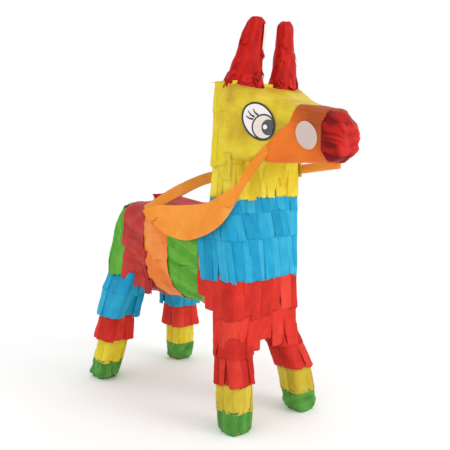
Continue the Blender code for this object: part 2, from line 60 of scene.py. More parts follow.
def crumple(points, size, count, seed):
    # Crumpled paper, about -1 to 1: the sum of triangle waves along random directions, so that flat
    # facets meet in sharp creases. The places are first bent by noise, so that no crease runs straight.
    dice = np.random.default_rng(seed)
    bend = np.stack([smoothNoise(points + k, size * 1.5) for k in (0.1, 0.7, 1.9)], -1)
    bent = points + 0.4 * size * bend
    total = 0
    for _ in range(count):
        way = dice.normal(size=3)
        way = way / np.linalg.norm(way)
        phase = bent @ way / (size * dice.uniform(0.8, 2.2)) + dice.random()
        total = total + np.abs(2 * (phase - np.floor(phase)) - 1) - 0.5
    return 2 * total / math.sqrt(count)


def unit(vectors):
    # Each vector divided by its length.
    return vectors / np.maximum(np.linalg.norm(vectors, axis=-1, keepdims=True), 1e-9)


def smoothStep(x, low, high):
    # 0 up to low, 1 from high on, and 3t2 - 2t3 between them.
    t = np.clip((x - low) / (high - low), 0, 1)
    return t * t * (3 - 2 * t)


def foldWave(phase):
    # A triangle wave: 1/2 at each whole number and -1/2 half way between them.
    return np.abs(2 * np.mod(phase, 1) - 1) - 0.5


def acrossRow(first, last, count, closed=False):
    # Even steps along every row of a grid. A closed row stops one step short of its start.
    return np.linspace(first, last, count, endpoint=not closed)[None, :]


def downRows(first, last, count):
    # Even steps from the first row of a grid to the last.
    return np.linspace(first, last, count)[:, None]


def xyz(x, y, z):
    # Points from three coordinates, each stretched to one shape.
    return np.stack(np.broadcast_arrays(x, y, z), -1)


def steadied(x, xs, ys, spread):
    # The broken line through the stations, averaged over x - spread to x + spread so that it bends
    # softly.
    shifts = np.linspace(-spread, spread, 9)
    return sum(np.interp(x + shift, xs, ys) for shift in shifts) / len(shifts)


def withNormals(surface):
    # A surface's points and outward directions: the cross product of its small steps along and up.
    step = 0.0008

    def wall(along, up):
        along, up = np.broadcast_arrays(along, up)
        sideways = surface(along + step, up) - surface(along - step, up)
        upwards = surface(along, up + step) - surface(along, up - step)
        return surface(along, up), unit(np.cross(sideways, upwards))

    return wall


def part(points, tone=0.5, wrap=False, capStart=False, capEnd=False, slot=0, keep=None):
    # One grid of points (rows down, columns along), or many alike (count, rows, columns). The UV is the
    # distance along and down the sheet, in metres, shifted by a random amount on each sheet. tone goes
    # into the colour, and keep says which faces are made, where some aren't.
    points = np.asarray(points, float)
    points = points[None] if points.ndim == 3 else points
    count, rows, cols, _ = points.shape
    closed = np.concatenate([points, points[:, :, :1]], axis=2) if wrap else points
    along = np.linalg.norm(np.diff(closed, axis=2), axis=-1).mean(axis=1)
    along = np.concatenate([np.zeros((count, 1)), np.cumsum(along, axis=1)], axis=1)
    down = np.linalg.norm(np.diff(points, axis=1), axis=-1).mean(axis=2)
    down = np.concatenate([np.zeros((count, 1)), np.cumsum(down, axis=1)], axis=1)
    shift = np.random.default_rng(count * rows + cols).random((count, 2, 1, 1))
    uv = np.stack(np.broadcast_arrays(along[:, None] + shift[:, 0], down[:, :, None] + shift[:, 1]), -1)
    tone = np.asarray(tone, float)
    if tone.ndim == 1:
        tone = tone[:, None, None]
    tone = np.broadcast_to(tone, (count, rows, cols))
    caps = (capStart, capEnd)
    return {"points": points, "uv": uv, "tone": tone, "caps": caps, "slot": slot, "keep": keep}


def gridFaces(entry, start):
    # Corner numbers and UV of every face of a part: quads, then a fan of triangles on each closed end.
    points, uv = entry["points"], entry["uv"]
    count, rows, cols, _ = points.shape
    uvCols = uv.shape[2]
    r, c = np.meshgrid(np.arange(rows - 1), np.arange(uvCols - 1), indexing="ij")
    r, c = r.ravel(), c.ravel()
    corners = ((r, c), (r + 1, c), (r + 1, c + 1), (r, c + 1))
    quad = np.stack([a * cols + b % cols for a, b in corners], -1)
    quadUv = np.stack([a * uvCols + b for a, b in corners], -1)
    if entry["keep"] is not None:
        quad, quadUv = quad[entry["keep"].ravel()], quadUv[entry["keep"].ravel()]
    sheets = np.arange(count)[:, None, None]
    faces = (quad[None] + start + sheets * rows * cols).reshape(-1, 4).tolist()
    uvs = [uv.reshape(-1, 2)[(quadUv[None] + sheets * rows * uvCols).reshape(-1)]]
    centres = []
    for wanted, row in zip(entry["caps"], (0, rows - 1)):
        if not wanted:
            continue
        ring = start + row * cols + np.arange(cols)
        middle = start + count * rows * cols + len(centres)
        centre = points[0, row].mean(axis=0)
        fan = np.stack([ring, np.roll(ring, -1), np.full(cols, middle)], -1)
        axes = np.linalg.svd(points[0, row] - centre, full_matrices=False)[2][:2]
        flat = (points[0, row] - centre) @ axes.T
        fanUv = np.stack([flat, np.roll(flat, -1, axis=0), np.zeros_like(flat)], 1)
        if row:
            fan, fanUv = fan[:, [1, 0, 2]], fanUv[:, [1, 0, 2]]
        faces += fan.tolist()
        uvs.append(fanUv.reshape(-1, 2))
        centres.append(centre)
    return faces, np.concatenate(uvs), np.array(centres).reshape(-1, 3)


def piece(name, parts, materials, body="donkey", slot=None, replaces=(), wall=0.00025):
    # Joins the parts into one mesh with a "paper" UV and a "tone", and gives the paper its thickness,
    # wall.
    points, tones, faces, uvs, slots = [], [], [], [], []
    start = 0
    for entry in parts:
        found, foundUv, centres = gridFaces(entry, start)
        points += [entry["points"].reshape(-1, 3), centres]
        tones += [entry["tone"].reshape(-1), np.full(len(centres), 0.5)]
        faces += found
        uvs.append(foundUv)
        slots.append(np.full(len(found), entry["slot"]))
        start += entry["points"].size // 3 + len(centres)
    mesh = bpy.data.meshes.new(name)
    mesh.from_pydata(np.concatenate(points).tolist(), [], faces)
    uvs, tones = np.concatenate(uvs).astype(np.float32), np.concatenate(tones).astype(np.float32)
    mesh.uv_layers.new(name="paper").data.foreach_set("uv", uvs.ravel())
    mesh.attributes.new("tone", "FLOAT", "POINT").data.foreach_set("value", tones)
    for material in materials:
        mesh.materials.append(material)
    mesh.polygons.foreach_set("material_index", np.concatenate(slots).astype(np.int32))
    mesh.polygons.foreach_set("use_smooth", np.full(len(faces), True))
    mesh.update()
    obj = bpy.data.objects.new(name, mesh)
    bpy.context.scene.collection.objects.link(obj)
    if wall:
        solidify = obj.modifiers.new("paperThickness", "SOLIDIFY")
        solidify.thickness = wall
        solidify.offset = 0
    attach(obj, body)
    if replaces:
        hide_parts(*replaces)
    return obj


# Materials


def hexColour(text):
    # An sRGB hex colour made linear.
    channels = [int(text[k:k + 2], 16) / 255 for k in (1, 3, 5)]
    return (*[c / 12.92 if c <= 0.04045 else ((c + 0.055) / 1.055) ** 2.4 for c in channels], 1.0)


def addNode(tree, kind, settings=None, links=None, **fields):
    # Adds a node and sets its fields and sockets; links gives the output that feeds each linked socket.
    node = tree.nodes.new(kind)
    for key, value in fields.items():
        setattr(node, key, value)
    for key, value in (settings or {}).items():
        node.inputs[key].default_value = value
    for key, source in (links or {}).items():
        tree.links.new(source, node.inputs[key])
    return node


def sheetMaterial(name, look):
    # Paper: creases stretched down the sheet, clouds of colour, the tone that each part gives it (which on
    # the nose, ears, hooves and reins also holds painted light and shade), painted shade in the crease
    # valleys, and a bump from creases and fibres. look gives the sizes in metres and the three colours.
    material = bpy.data.materials.new(name)
    material.use_nodes = True
    tree = material.node_tree
    tree.nodes.clear()
    if look["onUv"]:
        place = addNode(tree, "ShaderNodeUVMap", uv_map="paper").outputs[0]
        tone = addNode(tree, "ShaderNodeAttribute", attribute_name="tone").outputs["Fac"]
    else:
        place = addNode(tree, "ShaderNodeTexCoord").outputs["Object"]
        tone = addNode(tree, "ShaderNodeTexNoise", {"Scale": 30.0}, {"Vector": place}).outputs[0]
    scale = (1 / look["crease"], 1 / look["creaseLength"], 1 / look["creaseLength"])
    threads = addNode(tree, "ShaderNodeMapping", {"Scale": scale}, {"Vector": place}).outputs[0]
    kinked = {"Scale": 1.0, "Detail": 4.0, "Roughness": 0.6, "Distortion": 0.5}
    crease = addNode(tree, "ShaderNodeTexNoise", kinked, {"Vector": threads}).outputs[0]
    grains = (("cloud", 3.0), ("fibre", 2.0))
    cloud, fibre = (addNode(tree, "ShaderNodeTexNoise", {"Scale": 1 / look[grain], "Detail": detail},
                            {"Vector": place}).outputs[0] for grain, detail in grains)
    share = look["toneShare"]
    mixed = addNode(tree, "ShaderNodeMath", {1: share}, {0: tone}, operation="MULTIPLY").outputs[0]
    mixed = addNode(tree, "ShaderNodeMath", {1: 1 - share}, {0: cloud, 2: mixed},
                    operation="MULTIPLY_ADD").outputs[0]
    ramp = addNode(tree, "ShaderNodeValToRGB", None, {"Fac": mixed})
    ramp.color_ramp.elements.new(0.5)
    for stop, spot, ink in zip(ramp.color_ramp.elements, (0.2, 0.5, 0.8), ("shade", "main", "light")):
        stop.position = spot
        stop.color = hexColour(look[ink])
    # Painted shade: the colour is darkened in the crease valleys, where the crease noise is low.
    dim = addNode(tree, "ShaderNodeMapRange", {1: 0.35, 2: 0.7, 3: 1 - look["creaseDark"], 4: 1.0},
                  {0: crease}).outputs[0]
    colour = addNode(tree, "ShaderNodeMix", {0: 1.0}, {6: ramp.outputs[0], 7: dim}, data_type="RGBA",
                     blend_type="MULTIPLY").outputs[2]
    height = addNode(tree, "ShaderNodeMath", {1: 0.25}, {0: fibre, 2: crease},
                     operation="MULTIPLY_ADD").outputs[0]
    relief = {"Strength": look["bump"], "Distance": look["depth"]}
    bump = addNode(tree, "ShaderNodeBump", relief, {"Height": height})
    settings = {"Roughness": look["rough"], "IOR": 1.5, "Specular IOR Level": look["gloss"],
                "Metallic": look["metal"], "Subsurface Weight": look["through"], "Subsurface Scale": 0.004,
                "Subsurface Radius": (1.0, 1.0, 1.0)}
    feeds = {"Base Color": colour, "Normal": bump.outputs[0]}
    shader = addNode(tree, "ShaderNodeBsdfPrincipled", settings, feeds)
    addNode(tree, "ShaderNodeOutputMaterial", None, {"Surface": shader.outputs[0]})
    return material


# Crepe paper: dyed tissue crimped on a roller. Its crimps are about 1 mm apart, drawn at 1.8 mm so that
# they show, and they give a soft matte grain like cloth that runs down each strip.
# The valleys of the crimps are darkened by painted shade.
crepe = {"onUv": True, "crease": 0.0018, "creaseLength": 0.020, "cloud": 0.020, "fibre": 0.0007,
         "toneShare": 0.45, "creaseDark": 0.12, "bump": 0.5, "depth": 0.0006, "rough": 0.75, "gloss": 0.14,
         "through": 0.08, "metal": 0.0}


def crepeMaterial(name, main, shade, light, **changes):
    # Crepe in three colours, with what differs from plain crepe.
    return sheetMaterial(name, {**crepe, "main": main, "shade": shade, "light": light, **changes})


# Tissue that is stretched or crumpled over a form: the crimps are pulled out, so wider and shinier
# creases show.
tissue = {"crease": 0.0045, "creaseLength": 0.024, "rough": 0.50, "gloss": 0.22}
yellowCrepe = crepeMaterial("yellowCrepePaper", "#ead032", "#dabb28", "#f4e250")
yellowTissue = crepeMaterial("yellowTissueStretched", "#e0c42c", "#bc9826", "#ecd646", **tissue)
blueCrepe = crepeMaterial("blueCrepePaper", "#20a2ce", "#168cba", "#3eb4da")
redCrepe = crepeMaterial("redCrepePaper", "#de3428", "#c0261c", "#ea4a3a")
legCrepe = crepeMaterial("redCrepePaperDeep", "#cc2c22", "#ac1e16", "#de4032")
sockCrepe = crepeMaterial("yellowCrepePaperDull", "#d2b83a", "#bca02c", "#e0cc54")
redTissue = crepeMaterial("redTissueCrumpled", "#bc1814", "#8e0e0c", "#d8261a",
                          **{**tissue, "gloss": 0.1})
# The gathered nose's tone carries painted shade and light, so its dark colour is deeper and the tone counts
# for more.
noseTissue = crepeMaterial("redTissueGathered", "#c01c18", "#7a0a0a", "#de3228",
                           **{**tissue, "toneShare": 0.8, "rough": 0.45, "gloss": 0.12})
crimsonTissue = crepeMaterial("crimsonTissueWrapped", "#bd2e28", "#a2201e", "#cc4036", **tissue)
greenCrepe = crepeMaterial("greenCrepePaper", "#62ac38", "#4e962c", "#78bc4a")
greenTissue = crepeMaterial("greenTissueCrumpled", "#4c9236", "#387a28", "#62a644", **tissue)
orangeTissue = crepeMaterial("orangeTissueWrapped", "#f58430", "#e26c20", "#fa9a4a", **tissue)
muzzleTissue = crepeMaterial("orangeTissueStretched", "#dc661a", "#b04c18", "#f47a20",
                             **{**tissue, "toneShare": 0.85})
orangeStreamer = crepeMaterial("orangeCrepeStreamer", "#fa9432", "#f08626", "#ffa84a", crease=0.0013,
                               creaseLength=0.010, bump=0.2, through=0.2, creaseDark=0.05)
# Corrugated board, cut and unpainted: dull kraft brown with fibres, or white where it is lined.
board = {"crease": 0.003, "creaseLength": 0.1, "rough": 0.9, "gloss": 0.2, "through": 0.0}
brownBoard = crepeMaterial("kraftCardboard", "#b48c60", "#a07a50", "#c09a70", **board)
packedBoard = crepeMaterial("kraftCardboardInside", "#b48c60", "#a07a50", "#c09a70", onUv=False, **board)
whiteBoard = crepeMaterial("whiteLinedCardboard", "#e8e2da", "#d8d2ca", "#f4f0ea", **board)
# Sticker paper, printed and varnished: flat even colour and a soft shine.
sticker = {"toneShare": 0.0, "creaseDark": 0.04, "bump": 0.08, "rough": 0.40, "gloss": 0.45, "through": 0.0,
           "cloud": 0.004}
stickerWhite = crepeMaterial("stickerWhiteInk", "#eee6e4", "#e8e0de", "#f2ecea", **sticker)
stickerBlack = crepeMaterial("stickerBlackInk", "#2a272b", "#252226", "#302d31", **sticker)
stickerCream = crepeMaterial("stickerCreamInk", "#e2d8ca", "#dcd2c4", "#e8dfd2", **sticker)
stickerGrey = crepeMaterial("stickerDarkGreyInk", "#4a4a51", "#45454c", "#505057", **sticker)
stickerPink = crepeMaterial("stickerGreyPinkInk", "#cbb8b0", "#c5b2aa", "#d0beb6", **sticker)
stickerPeach = crepeMaterial("stickerPeachRim", "#f6d6be", "#f0cfb6", "#fadcc6", **sticker)
# Galvanised steel wire, drawn through a die: bright grey with fine lines.
wire = crepeMaterial("galvanisedSteelWire", "#b9bbbd", "#a9abad", "#c9cbcd", onUv=False, metal=1.0,
                     rough=0.35, through=0.0, crease=0.0004, creaseLength=0.002, depth=0.0001, gloss=0.5)
# The far streamer is the same crepe painted a paler orange: painted light, as it lies in the shade of the
# head and neck.
paintedLightStreamer = crepeMaterial("orangeCrepeStreamerPaintedLight", "#ffa244", "#ff9432", "#ffb25c", crease=0.0013,
                               creaseDark=0.04, through=0.2)

for nodeName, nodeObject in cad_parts.items():
    isWire = nodeName in ("hanger_ring", "hanger_staple")
    for materialSlot in nodeObject.material_slots:
        materialSlot.material = wire if isWire else packedBoard
print("materials made")

# Outlines


def roundedOutline(t, halfA, halfB, radius):
    # A rectangle with round corners, t from 0 to 1 once round from the middle of its +A side towards +B.
    # Each quarter is 35% straight side, 30% arc and 35% straight side.
    q = np.mod(t, 1) * 4
    quarter = np.floor(q).astype(int)
    f = q - quarter
    g = np.where(quarter % 2 == 0, f, 1 - f)
    angle = np.clip((g - 0.35) / 0.3, 0, 1) * math.pi / 2
    a = (halfA - radius) * (1 - np.clip((g - 0.65) / 0.35, 0, 1)) + radius * np.cos(angle)
    b = (halfB - radius) * np.clip(g / 0.35, 0, 1) + radius * np.sin(angle)
    return np.where((quarter == 0) | (quarter == 3), a, -a), np.where(quarter < 2, b, -b)


def traced(outline, closed):
    # A function from the distance along a flat outline to its point, and the whole length. Past the
    # ends of an open outline it goes straight on.
    outline = np.vstack([outline, outline[:1]]) if closed else outline
    lengths = np.concatenate([[0], np.cumsum(np.linalg.norm(np.diff(outline, axis=0), axis=1))])
    total = lengths[-1]

    def at(distance):
        inside = np.mod(distance, total) if closed else np.clip(distance, 0, total)
        xy = np.stack([np.interp(inside, lengths, outline[:, k]) for k in (0, 1)], -1)
        if closed:
            return xy
        ways = np.stack([unit(outline[1] - outline[0]), unit(outline[-1] - outline[-2])])
        beyond = distance - inside
        return xy + ways[(beyond > 0).astype(int)] * beyond[..., None]

    return at, total


# Fringe

fringeLook = {"width": 0.014, "overlap": 1.20, "slant": 0.03, "ragged": 0.015, "lift": 0.0006,
              "curl": 0.0006, "cup": 0.0003, "tilt": 0.0010, "wrinkle": 0.0006, "twist": 0.0006,
              "stagger": 0.0004, "rows": 15, "cols": 7, "uncut": 0.25, "lean": 0.0, "tooth": 0.0006,
              "loose": 0.06, "looseLift": 3.0, "tuck": 0.0010}


def fringe(surface, start, end, top, bottom, seed, **changes):
    # Cut strips hung side by side. Strip i hangs at distance s; across it u goes from -1/2 to 1/2, down
    # it v from 0 to 1. Along the wall it is at s + u width + slant length, its height is top - v
    # length, and it stands off the wall by lift v1.5 + curl v5, with a cup across it, a twist, and
    # wrinkles that run down it. Its top is tucked in under the row above, and a few loose strips stand
    # further off.
    look = {**fringeLook, **changes}
    dice = np.random.default_rng(seed)
    count = max(3, round((end - start) / look["width"]))
    step = (end - start) / count
    middle = start + step * (np.arange(count) + 0.5)
    high = np.interp(middle, *top) if isinstance(top, tuple) else np.full(count, top)
    low = np.interp(middle, *bottom) if isinstance(bottom, tuple) else np.full(count, bottom)
    length = ((high - low) * (1 + dice.normal(0, look["ragged"], count)))[:, None, None]
    u = np.linspace(-0.5, 0.5, look["cols"])[None, None]
    v = np.linspace(0, 1, look["rows"])[None, :, None]
    free = smoothStep(v, look["uncut"] * 0.5, 1.0)

    def each(least, most):
        return dice.uniform(least, most, count)[:, None, None]

    wide = step * look["overlap"] * each(0.96, 1.10) * (1 - each(0.0, 0.16) * free)
    loose = 1 + look["looseLift"] * (each(0, 1) < look["loose"])
    slant = (look["lean"] + dice.normal(0, look["slant"], count))[:, None, None]
    along = middle[:, None, None] + u * wide + slant * free * length
    up = high[:, None, None] - v * length + look["tilt"] * each(-1, 1) * u * 2 * v**2
    up = up + look["tooth"] * dice.normal(size=(count, 1, look["cols"])) * v**4
    points, normals = withNormals(surface)(along, up)
    stagger = (np.arange(count) % 2)[:, None, None] * look["stagger"] * np.minimum(1, 0.3 + free)
    standing = look["lift"] * free**1.5 * each(0.4, 1.3) + look["curl"] * each(-0.5, 1.2) * v**5
    away = stagger + standing * loose
    away = away - look["tuck"] * (1 - smoothStep(v, 0, 0.22))
    away = away + look["cup"] * (4 * u**2 - 0.5) * each(-1, 1) * v
    away = away + look["twist"] * each(-1, 1) * u * 2 * free
    away = away + look["wrinkle"] * smoothNoise(points * [1, 1, 0.4] + seed, 0.005) * (0.4 + 0.6 * v)
    away = away + 0.5 * look["wrinkle"] * crumple(points, 0.010, 3, seed)
    return part(points + normals * np.maximum(away, -look["tuck"])[..., None], tone=dice.random(count))


def backing(surface, start, end, top, bottom, closed=False, inset=0.0010, seed=1):
    # The uncut paper behind a fringe: the same wall, set in a little, with gentle wrinkles.
    cols = max(12, round((end - start) / 0.003))
    along = np.linspace(start, end, cols + 1)[:-1 if closed else None][None, :]
    up = np.linspace(top, bottom, max(4, round((top - bottom) / 0.004)))[:, None]
    points, normals = withNormals(surface)(along, up)
    away = -inset + 0.0004 * crumple(points, 0.012, 3, seed)
    return part(points + normals * away[..., None], tone=0.4, wrap=closed)


# Neck and chest column

column = {"half": 0.0665, "front": -0.0910, "rear": -0.0185, "corner": 0.0130, "ringRear": -0.0470}
napeHeights = (0.256, 0.327, 0.394, 0.470)
napeDepths = (-0.018, -0.041, -0.044, -0.048)

arc = np.radians(np.linspace(180, 270, 8))
frontCorner = np.stack([np.cos(arc), np.sin(arc)], -1) * column["corner"]
leftCorner = frontCorner + [-column["half"] + column["corner"], column["front"] + column["corner"]]
frontPath = np.vstack([[[-column["half"], column["rear"]]], leftCorner, (leftCorner * [-1, 1])[::-1],
                       [[column["half"], column["rear"]]]])
chestAt, chestLength = traced(frontPath, closed=False)
ringT = np.linspace(0, 1, 200, endpoint=False) + 0.25
ringX, ringY = roundedOutline(ringT, column["half"], (column["ringRear"] - column["front"]) / 2, 0.0125)
ringY = ringY + (column["ringRear"] + column["front"]) / 2
ringAt, ringLength = traced(np.stack([ringX, ringY], -1), closed=True)


def chestSurface(along, up):
    # The column below the back: three sides, straight up and down.
    return np.concatenate([chestAt(along), up[..., None]], -1)


def neckSurface(along, up):
    # The column above the back: a ring whose rear side leans forward with height, as the nape does.
    xy = ringAt(along)
    depth = steadied(up, napeHeights, napeDepths, 0.006) - column["front"]
    y = column["front"] + (xy[..., 1] - column["front"]) * depth / (column["ringRear"] - column["front"])
    return np.stack([xy[..., 0], y, up], -1)


# Distances round the ring from the middle of the nape: the front row, and the upper rows, which run from
# the nape's left part round the right side to the front corner.
frontRow = (ringLength * 0.5 - 0.066, ringLength * 0.5 + 0.066)
upperRows = (-0.052, ringLength - 0.215)
# Each call gives where the row starts and ends round the column, its top, its bottom and its seed.
neckParts = [
    backing(neckSurface, 0, ringLength, 0.4695, 0.318, closed=True, inset=0.0014),
    fringe(neckSurface, 0, ringLength, 0.374, 0.317, 11, lift=0.0016, curl=0.0016, width=0.0135,
           ragged=0.03, slant=0.08),
    fringe(neckSurface, *frontRow, 0.376, 0.3165, 14, lift=0.0014, curl=0.0008, width=0.021, ragged=0.02,
           slant=0.16, stagger=0.0006, overlap=1.45, loose=0),
    fringe(neckSurface, *upperRows, 0.4705, 0.361, 12, lift=0.0010, width=0.0135, uncut=0.1, curl=0.0020),
    fringe(neckSurface, *upperRows, 0.4715, 0.430, 13, lift=0.0006, width=0.017, ragged=0.10),
]
piece("neckCover", neckParts, [yellowCrepe], slot="yellow_crepe", replaces=["neck_cover"])
piece("blueFringeUpper", [
    backing(neckSurface, 0, ringLength, 0.332, 0.2945, closed=True, inset=0.0020, seed=2),
    fringe(neckSurface, 0, ringLength, 0.326, 0.297, 21, lean=0.12),
], [blueCrepe], slot="blue_crepe", replaces=["blue_fringe_upper"])
inMiddle = 0.014  # the middle row stops this far short of the rear edges
piece("blueFringeMiddle", [
    backing(chestSurface, inMiddle, chestLength - inMiddle, 0.300, 0.258, inset=0.0022, seed=3),
    fringe(chestSurface, inMiddle, chestLength - inMiddle, 0.3035, 0.260, 22, uncut=0.1, lean=0.16),
], [blueCrepe], slot="blue_crepe", replaces=["blue_fringe_middle"])
piece("blueFringeLower", [
    backing(chestSurface, 0, chestLength, 0.262, 0.200, inset=0.0020, seed=4),
    fringe(chestSurface, 0, chestLength, 0.268, 0.2025, 23, uncut=0.12, lean=0.10),
], [blueCrepe], slot="blue_crepe", replaces=["blue_fringe_lower"])

# The lowest row ends in a notch at the middle of the front, and the row above it dips towards the legs.
notchAlong = chestLength / 2 + np.array([-0.2, -0.028, -0.014, 0, 0.014, 0.028, 0.2])
notchHeights = (0.100, 0.100, 0.108, 0.118, 0.108, 0.100, 0.100)
sideDip = np.array([0, 0.012, 0.030, 0.036])
sideHeights = np.array([0.186, 0.176, 0.158, 0.151])
firstAlong = np.concatenate([sideDip, chestLength - sideDip[::-1]])
firstBottom = np.concatenate([sideHeights, sideHeights[::-1]])
chestParts = [
    backing(chestSurface, 0.033, chestLength - 0.033, 0.205, 0.118, inset=0.0022, seed=5),
    backing(chestSurface, 0, chestLength, 0.205, 0.188, inset=0.0022, seed=6),
    fringe(chestSurface, 0.034, chestLength - 0.034, 0.164, (notchAlong, notchHeights), 31,
           width=0.021, lift=0.0012, curl=0.0010, ragged=0.02, slant=0.06),
    fringe(chestSurface, 0, chestLength, 0.212, (firstAlong, firstBottom), 32, width=0.018, lift=0.0010,
           curl=0.0008, ragged=0.03, uncut=0.35, slant=0.06),
]
piece("chestFringe", chestParts, [redCrepe], slot="red_crepe", replaces=["chest_fringe"])
print("column made")

# Legs: a rounded square carried along a leaning line

legs = {
    "front": {"z": (0.116, 0.066, -0.006), "away": (0.0460, 0.0590, 0.0660),
              "y": (-0.0710, -0.0870, -0.0970)},
    "hind": {"z": (0.179, 0.109, 0.066, -0.006), "away": (0.0535, 0.0655, 0.0700, 0.0810),
             "y": (0.1800, 0.1970, 0.2040, 0.2200)},
}
legHalf = 0.0205
legOutline = np.stack(roundedOutline(np.linspace(0, 1, 96, endpoint=False), legHalf, legHalf, 0.0085), -1)
legAt, legLength = traced(legOutline, closed=True)


def legSurface(end, sign, heights, halfX, halfY):
    # The rounded square, scaled to the half sizes at each height, round the leg's centre there.
    line = legs[end]
    order = np.argsort(line["z"])

    def surface(along, up):
        xy = legAt(along) / legHalf
        inner = [np.interp(up, np.array(line["z"])[order], np.array(line[key])[order])
                 for key in ("away", "y")]
        x = sign * inner[0] + xy[..., 0] * np.interp(up, heights, halfX)
        y = inner[1] + xy[..., 1] * np.interp(up, heights, halfY)
        return np.stack([x, y, up], -1)

    return surface


def hoof(surface, top, seed):
    # A crumpled foot: rings from the top down, 1.5 mm above the floor at the least, pinched by crumple
    # facets, and the last ones drawn in by up to 3.5 mm under the sole, which lies 0.3 mm above the
    # floor.
    rows = np.concatenate([np.linspace(0, 0.82, 14), np.linspace(0.86, 1, 6)])[:, None]
    along = acrossRow(0, legLength, 72, closed=True)
    points, normals = withNormals(surface)(along, np.maximum(top * (1 - rows), 0.0015))
    facets = crumple(points, 0.013, 4, seed)
    points = points + normals * (0.0006 + 0.0013 * facets * smoothStep(rows, 0, 0.15))[..., None]
    tuck = smoothStep(rows, 0.8, 1.0) * 0.0035
    points = points - normals * tuck[..., None]
    points[..., 2] = np.where(rows > 0.99, 0.0003, np.maximum(points[..., 2], 0.0003))
    # The tone follows the facets: painted light where they stand out and painted shade where they sink.
    return part(points, tone=0.5 + 0.4 * facets, wrap=True, capEnd=True)


# Each tier: its top and bottom, the heights with the half widths and half depths there, and a strip's
# width.
legTiers = {
    "front": {"fringe": ((0.126, 0.066), ((0.060, 0.12), (0.0222, 0.0208), (0.0222, 0.0208)), 0.0170),
              "sock": ((0.071, 0.0300), ((0.030, 0.066), (0.0194, 0.0202), (0.0194, 0.0202)), 0.0190)},
    "hind": {"thigh": ((0.184, 0.1090), ((0.109, 0.150, 0.179), (0.0262, 0.0245, 0.0200),
                                         (0.0300, 0.0350, 0.0360)), 0.0160),
             "hock": ((0.114, 0.0690), ((0.069, 0.109), (0.0262, 0.0225), (0.0278, 0.0240)), 0.0160),
             "sock": ((0.074, 0.0300), ((0.030, 0.066), (0.0192, 0.0200), (0.0192, 0.0200)), 0.0140)},
}
hoofTier = ((0.0, 0.020, 0.034), (0.0170, 0.0188, 0.0196), (0.0170, 0.0188, 0.0196))
tierFinish = {"fringe": ("LegFringe", legCrepe, "red_crepe", "{end}_leg_fringe_{side}"),
              "thigh": ("ThighFringe", blueCrepe, "blue_crepe", "thigh_fringe_{side}"),
              "hock": ("HockFringe", redCrepe, "red_crepe", "hock_fringe_{side}"),
              "sock": ("Sock", yellowCrepe, "yellow_crepe", "{end}_sock_{side}")}


def makeLeg(end, side, sign, seed):
    # Each tier is a backing and one or two rows of strips; under them comes the hoof.
    for tier, ((top, bottom), (heights, halfX, halfY), width) in legTiers[end].items():
        surface = legSurface(end, sign, heights, halfX, halfY)
        name, material, slot, node = tierFinish[tier]
        if (end, tier) == ("front", "sock"):
            material = sockCrepe
        seed += 1
        parts = [
            backing(surface, 0, legLength, top - 0.001, bottom + 0.002, closed=True, inset=0.0018,
                    seed=seed),
            fringe(surface, 0, legLength, top, bottom, seed, width=width, lift=0.0004, curl=0.0006,
                   ragged=0.015, uncut=0.15, slant=0.05, tuck=0.0016),
        ]
        if tier in ("fringe", "thigh"):
            parts.append(fringe(surface, 0, legLength, top + 0.001, top * 0.55 + bottom * 0.45, seed + 40,
                                width=width, lift=0.0008, curl=0.0008, ragged=0.06, uncut=0.2))
        node = node.format(end=end, side=side.lower())
        piece(end + name + side, parts, [material], slot=slot, replaces=[node])
    surface = legSurface(end, sign, *hoofTier)
    parts = [hoof(surface, 0.0335, seed + 7)]
    if (end, side) == ("hind", "Right"):
        # This hoof's paper is torn into flaps that stand off it.
        parts.append(fringe(surface, 0.02, legLength - 0.03, 0.027, 0.0075, seed + 8, width=0.011,
                            lift=0.0035, curl=0.0030, ragged=0.12, twist=0.0030, loose=0))
    piece(end + "Hoof" + side, parts, [greenTissue], slot="green_crepe",
          replaces=["{}_hoof_{}".format(end, side.lower())])


sides = (("Right", -1), ("Left", 1))
for order, end in enumerate(("front", "hind")):
    for place, (side, sign) in enumerate(sides):
        makeLeg(end, side, sign, 100 + 60 * (2 * order + place))
print("legs made")

# Barrel: a section with a flat top, round shoulders and a round belly

barrel = {"half": 0.0665, "top": 0.294, "middle": 0.2145, "shoulder": 0.030}
barrelLow = barrel["middle"] - barrel["half"]
rump = {"start": 0.1843, "end": 0.2405, "drop": 0.082, "rise": 0.020, "narrow": 0.72}
# The filling mouth in the back, and the patch round it where the wrapped papers are pressed flat.
mouth = {"half": 0.0255, "front": 0.0735, "rear": 0.1405, "low": 0.270, "patchHalf": 0.0345,
         "patchRear": 0.1490, "patchTop": 0.280, "soft": 0.003, "pressed": 0.0062}


def barrelSection(t):
    # The section at share t of the way round: the upper half has the back's height and the shoulders'
    # radius, and the lower half is nearly a half circle.
    up = np.mod(t, 1) < 0.5
    height = np.where(up, barrel["top"] - barrel["middle"], barrel["half"])
    radius = np.where(up, barrel["shoulder"], barrel["half"] - 0.0002)
    x, z = roundedOutline(t, barrel["half"], height, radius)
    return x, z + barrel["middle"]


def rumpShare(y):
    # 0 up to the rump's start and 1 at its end.
    return np.clip((y - rump["start"]) / (rump["end"] - rump["start"]), 0, 1)


def barrelSurface(along, forward):
    # along is the share of the way round from the left flank over the back; forward is -y. Behind the
    # rump's start the section shrinks: its top drops by drop t1.15, its keel rises by rise t2 and its
    # width narrows.
    x, z = barrelSection(along)
    y = -forward
    t = rumpShare(y)
    share = (z - barrelLow) / (barrel["top"] - barrelLow)
    z = (barrelLow + rump["rise"] * t**2) * (1 - share) + (barrel["top"] - rump["drop"] * t**1.15) * share
    return np.stack([x * np.sqrt(1 - rump["narrow"] * t**2), y, z], -1)


